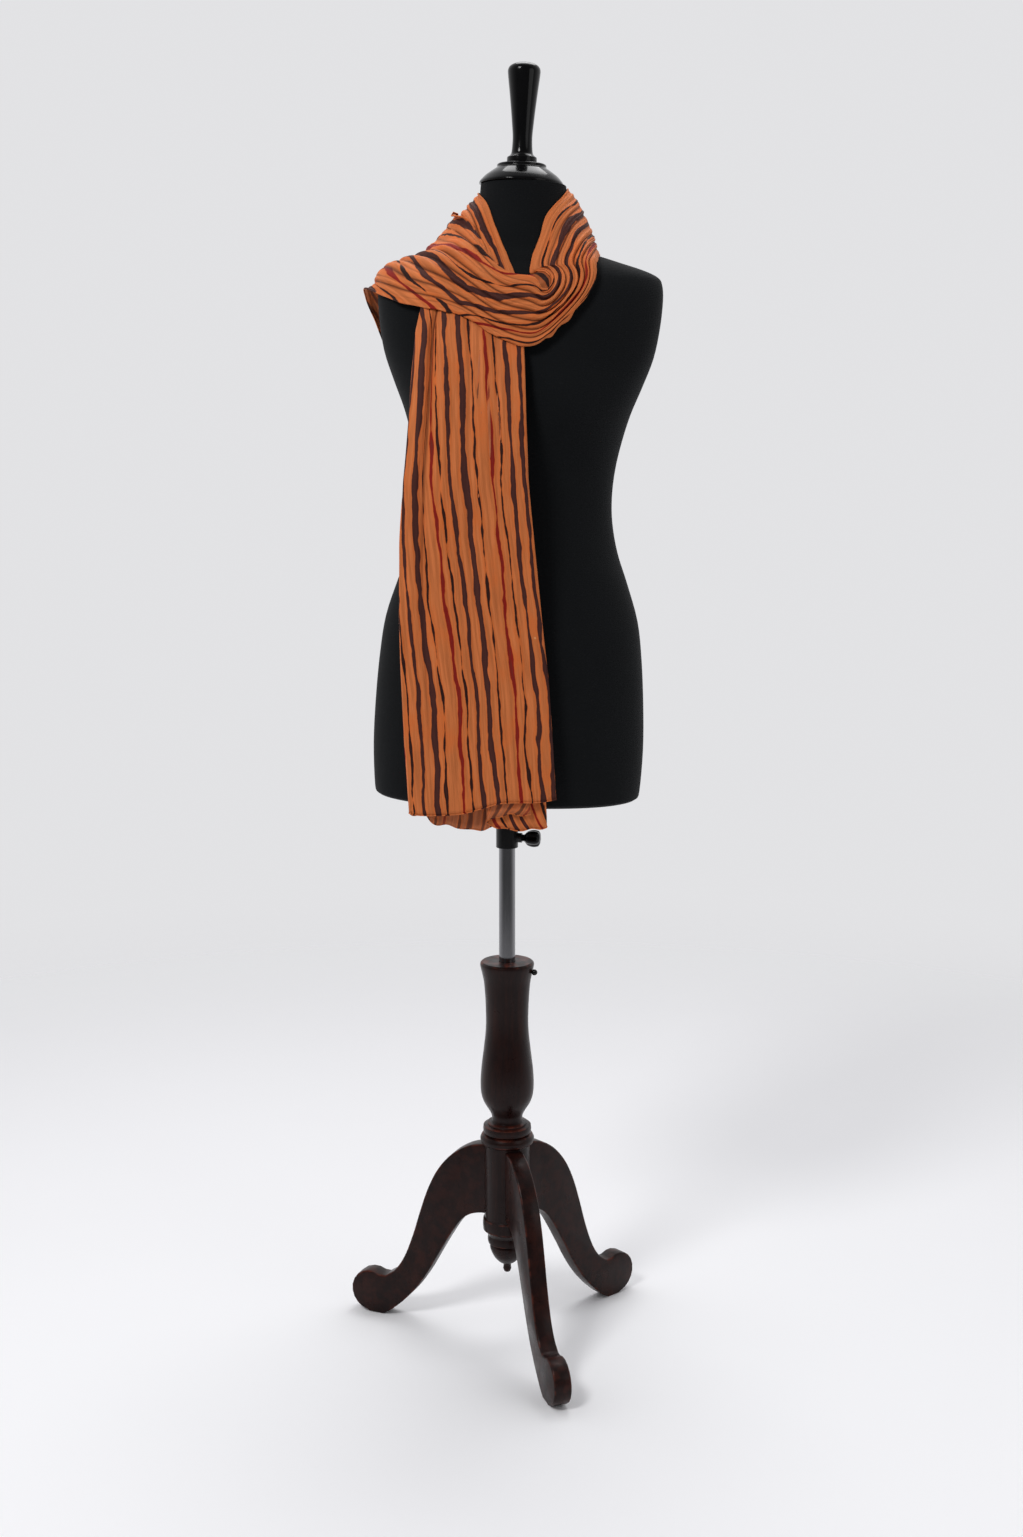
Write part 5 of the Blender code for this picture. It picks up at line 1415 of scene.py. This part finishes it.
class STOLE_OT_metal(bpy.types.Operator):
    """Builds the pole, the socket under the torso, its knob and the column's small screw"""

    bl_idname = "stole.metal"
    bl_label = "Pole and socket"

    def execute(self, context):
        lacquer = context.scene.form_look.lacquer
        bright = shared_material("steel_bright", smooth_finish, context.scene.stand_look.steel)
        black = shared_material("black_coated", smooth_finish, lacquer)
        gloss = shared_material("black_lacquer_gloss", smooth_finish, lacquer)
        pole = rod(POLE_RADIUS, POLE_TOP, POLE_BOTTOM, POLE_SIDES)
        boss = rod(SOCKET_BOSS_RADIUS, SOCKET_BOSS_REACH, SOCKET_BOSS_START, BOSS_SIDES)
        boss = along_shank(boss, KNOB_HEIGHT, KNOB_TURN)
        screw = turned(fine_profile(SCREW_PROFILE, KNOB_STEPS), SCREW_SIDES)
        screw = along_shank(screw, SCREW_HEIGHT, SCREW_TURN)
        add_solid("pole_tube", pole, "mast", ["pole"], bright, METAL_BEVEL)
        add_solid("socket_collar", socket_body(), "figure", ["socket"], black, METAL_BEVEL)
        add_solid("socket_boss", boss, "figure", [], black, BOSS_BEVEL)
        add_solid("clamp_knob", knob_body(), "figure_knob", ["socket_knob"], gloss)
        add_solid("thumb_screw", screw, "clamp_screw", ["column_screw"], black)
        return {"FINISHED"}


def socket_body():
    """The collar that seats the torso on the pole, with its plate planed to the torso's lean."""
    top = TORSO_BASE - GAP
    bm = turned(
        (
            (0.0, top),
            (SOCKET_PLATE_RADIUS, top),
            (SOCKET_PLATE_RADIUS, top - SOCKET_PLATE),
            (SOCKET_RADIUS, top - SOCKET_PLATE),
            (SOCKET_RADIUS, SOCKET_BOTTOM),
            (BORE_RADIUS, SOCKET_BOTTOM),
            (BORE_RADIUS, POLE_TOP + GAP),
            (0.0, POLE_TOP + GAP),
        ),
        SOCKET_SIDES,
    )
    for vert in bm.verts:
        if vert.co.z > top - GAP:
            vert.co.z -= (vert.co.x - TORSO_LEAN_X) * math.tan(TORSO_LEAN)
    return bm


class STOLE_OT_stand(bpy.types.Operator):
    """Builds the turned wood column, its drop and the three sawn legs"""

    bl_idname = "stole.stand"
    bl_label = "Wood stand"

    def execute(self, context):
        look = context.scene.stand_look
        turned_wood = shared_material("mahogany_turned", lacquered_wood, look)
        sawn_wood = shared_material("mahogany_sawn", lacquered_wood, look)
        column = turned(column_profile(), TURNED_FINE)
        drop = turned(fine_profile(DROP_PROFILE), TURNED_FINE)
        add_solid("turned_column", column, "base", ["column"], turned_wood, COLUMN_BEVEL)
        add_solid("turned_drop", drop, "base", ["column_drop"], turned_wood, DROP_BEVEL)
        for name, angle in LEG_ANGLES.items():
            leg = leg_body(math.radians(angle - 90.0))
            add_solid("sawn_" + name, leg, "base", [name], sawn_wood)
        return {"FINISHED"}


def column_profile():
    """The column's turned outside and its bore for the pole, as one profile."""
    outer = fine_profile(COLUMN_PROFILE)
    top, bottom = outer[0][1], outer[-1][1]
    bore = [(0.0, bottom), (0.0, COLUMN_BORE_BOTTOM), (BORE_RADIUS, COLUMN_BORE_BOTTOM), (BORE_RADIUS, top)]
    return [(BORE_RADIUS, top)] + outer + bore


def leg_body(turn):
    """One sawn leg with its edges rounded over, turned to its place round the column."""
    bm = bmesh.new()
    half = LEG_THICKNESS / 2.0
    verts = [bm.verts.new((reach, -half, height)) for reach, height in leg_outline()]
    face = bm.faces.new(verts)
    grown = bmesh.ops.extrude_face_region(bm, geom=[face])["geom"]
    moved = [g for g in grown if isinstance(g, bmesh.types.BMVert)]
    bmesh.ops.translate(bm, verts=moved, vec=(0.0, LEG_THICKNESS, 0.0))
    bmesh.ops.recalc_face_normals(bm, faces=bm.faces)
    rims = [edge for edge in bm.edges if edge.verts[0].co.y == edge.verts[1].co.y]
    bmesh.ops.bevel(bm, geom=rims, offset=LEG_EDGE, affect="EDGES", segments=3, profile=0.5, material=-1)
    bmesh.ops.rotate(bm, cent=(0.0, 0.0, 0.0), matrix=Matrix.Rotation(turn, 3, "Z"), verts=bm.verts)
    return bm


# Studio


def add_floor(scene, look):
    """The plain paper floor, which fades into the backdrop."""
    made, tree, shader = new_material("studio_paper", Roughness=0.95, Specular_IOR_Level=0.1)
    place = add_node(tree, "TexCoord").outputs["Object"]
    paper = mixed(tree, noise(tree, place, 3.0), scaled(look.floor, 0.985), look.floor)
    tree.links.new(paper, shader.inputs["Base Color"])
    away = add_node(tree, "VectorMath", {0: place}, operation="LENGTH").outputs["Value"]
    tree.links.new(ranged(tree, away, *FLOOR_FADE, 1.0, 0.0), shader.inputs["Alpha"])
    bm = bmesh.new()
    bmesh.ops.create_circle(bm, cap_ends=True, segments=TURNED_FINE, radius=FLOOR_RADIUS)
    mesh = bpy.data.meshes.new("studio_floor")
    bm.to_mesh(mesh)
    bm.free()
    mesh.materials.append(made)
    floor = bpy.data.objects.new("studio_floor", mesh)
    scene.collection.objects.link(floor)


def add_world(scene):
    """The backdrop that the camera sees, and the light of the room on the part, dimmer in front."""
    scene.world = bpy.data.worlds.new("studio_world")
    scene.world.use_nodes = True
    sky = scene.world.node_tree
    colour = (*WORLD_COLOUR, 1.0)
    seen = sky.nodes["Background"]
    seen.inputs["Color"].default_value = colour
    seen.inputs["Strength"].default_value = WORLD_STRENGTH
    way = add_node(sky, "SeparateXYZ", {0: add_node(sky, "TexCoord").outputs["Generated"]})
    dim = ranged(sky, way.outputs["Y"], *ROOM_DEPTH, *ROOM_STRENGTH)
    room = add_node(sky, "Background", {"Color": colour, "Strength": dim})
    ray = add_node(sky, "LightPath").outputs["Is Camera Ray"]
    both = add_node(sky, "MixShader", {0: ray, 1: room.outputs[0], 2: seen.outputs[0]})
    sky.links.new(both.outputs[0], sky.nodes["World Output"].inputs["Surface"])


def add_lights(scene, power):
    """Soft round studio lights, turned to the part."""
    for name, place, size, share in LIGHTS:
        lamp = bpy.data.lights.new(name, "AREA")
        lamp.shape = "DISK"
        lamp.size = size
        lamp.energy = power * share
        light = bpy.data.objects.new(name, lamp)
        light.location = place
        light.rotation_euler = (Vector(LIGHT_AIM) - light.location).to_track_quat("-Z", "Y").to_euler()
        scene.collection.objects.link(light)


def add_camera(scene):
    """The camera where the photo's stood, before the stand and tilted a little down."""
    lens = bpy.data.cameras.new("camera")
    lens.lens = CAMERA_LENS
    camera = bpy.data.objects.new("camera", lens)
    camera.location = (STAND_AXIS[0] + CAMERA_SIDE, STAND_AXIS[1] - CAMERA_DISTANCE, CAMERA_HEIGHT)
    camera.rotation_euler = (math.radians(90.0) - CAMERA_PITCH, 0.0, 0.0)
    scene.collection.objects.link(camera)
    scene.camera = camera


class STOLE_OT_stage(bpy.types.Operator):
    """Builds the plain floor and backdrop, the soft studio lights and the camera"""

    bl_idname = "stole.stage"
    bl_label = "Stage"

    def execute(self, context):
        scene = context.scene
        add_floor(scene, scene.stage_look)
        add_world(scene)
        add_lights(scene, scene.stage_look.light)
        add_camera(scene)
        scene.view_settings.view_transform = "Standard"
        return {"FINISHED"}


# Panel and registration


class STOLE_PT_panel(bpy.types.Panel):
    bl_idname = "STOLE_PT_panel"
    bl_label = "Striped stole"
    bl_space_type = "VIEW_3D"
    bl_region_type = "UI"
    bl_category = "Stole"

    def draw(self, context):
        for group, operators in PANEL_ROWS:
            box = self.layout.box()
            look = getattr(context.scene, group)
            for key in look.__annotations__:
                box.prop(look, key)
            for operator in operators:
                box.operator(operator)


LOOKS = {"stole_look": StoleLook, "form_look": FormLook, "stand_look": StandLook, "stage_look": StageLook}
PANEL_ROWS = (
    ("stole_look", ("stole.cloth",)),
    ("form_look", ("stole.form",)),
    ("stand_look", ("stole.metal", "stole.stand")),
    ("stage_look", ("stole.stage",)),
)
CLASSES = (
    *LOOKS.values(),
    STOLE_OT_cloth,
    STOLE_OT_form,
    STOLE_OT_metal,
    STOLE_OT_stand,
    STOLE_OT_stage,
    STOLE_PT_panel,
)


def register():
    for item in CLASSES:
        bpy.utils.register_class(item)
    for name, group in LOOKS.items():
        setattr(bpy.types.Scene, name, bpy.props.PointerProperty(type=group))


def unregister():
    for name in LOOKS:
        delattr(bpy.types.Scene, name)
    for item in reversed(CLASSES):
        bpy.utils.unregister_class(item)


def main():
    register()
    bpy.ops.stole.form()
    bpy.ops.stole.metal()
    bpy.ops.stole.stand()
    bpy.ops.stole.cloth()
    bpy.ops.stole.stage()


if __name__ == "__main__":
    main()
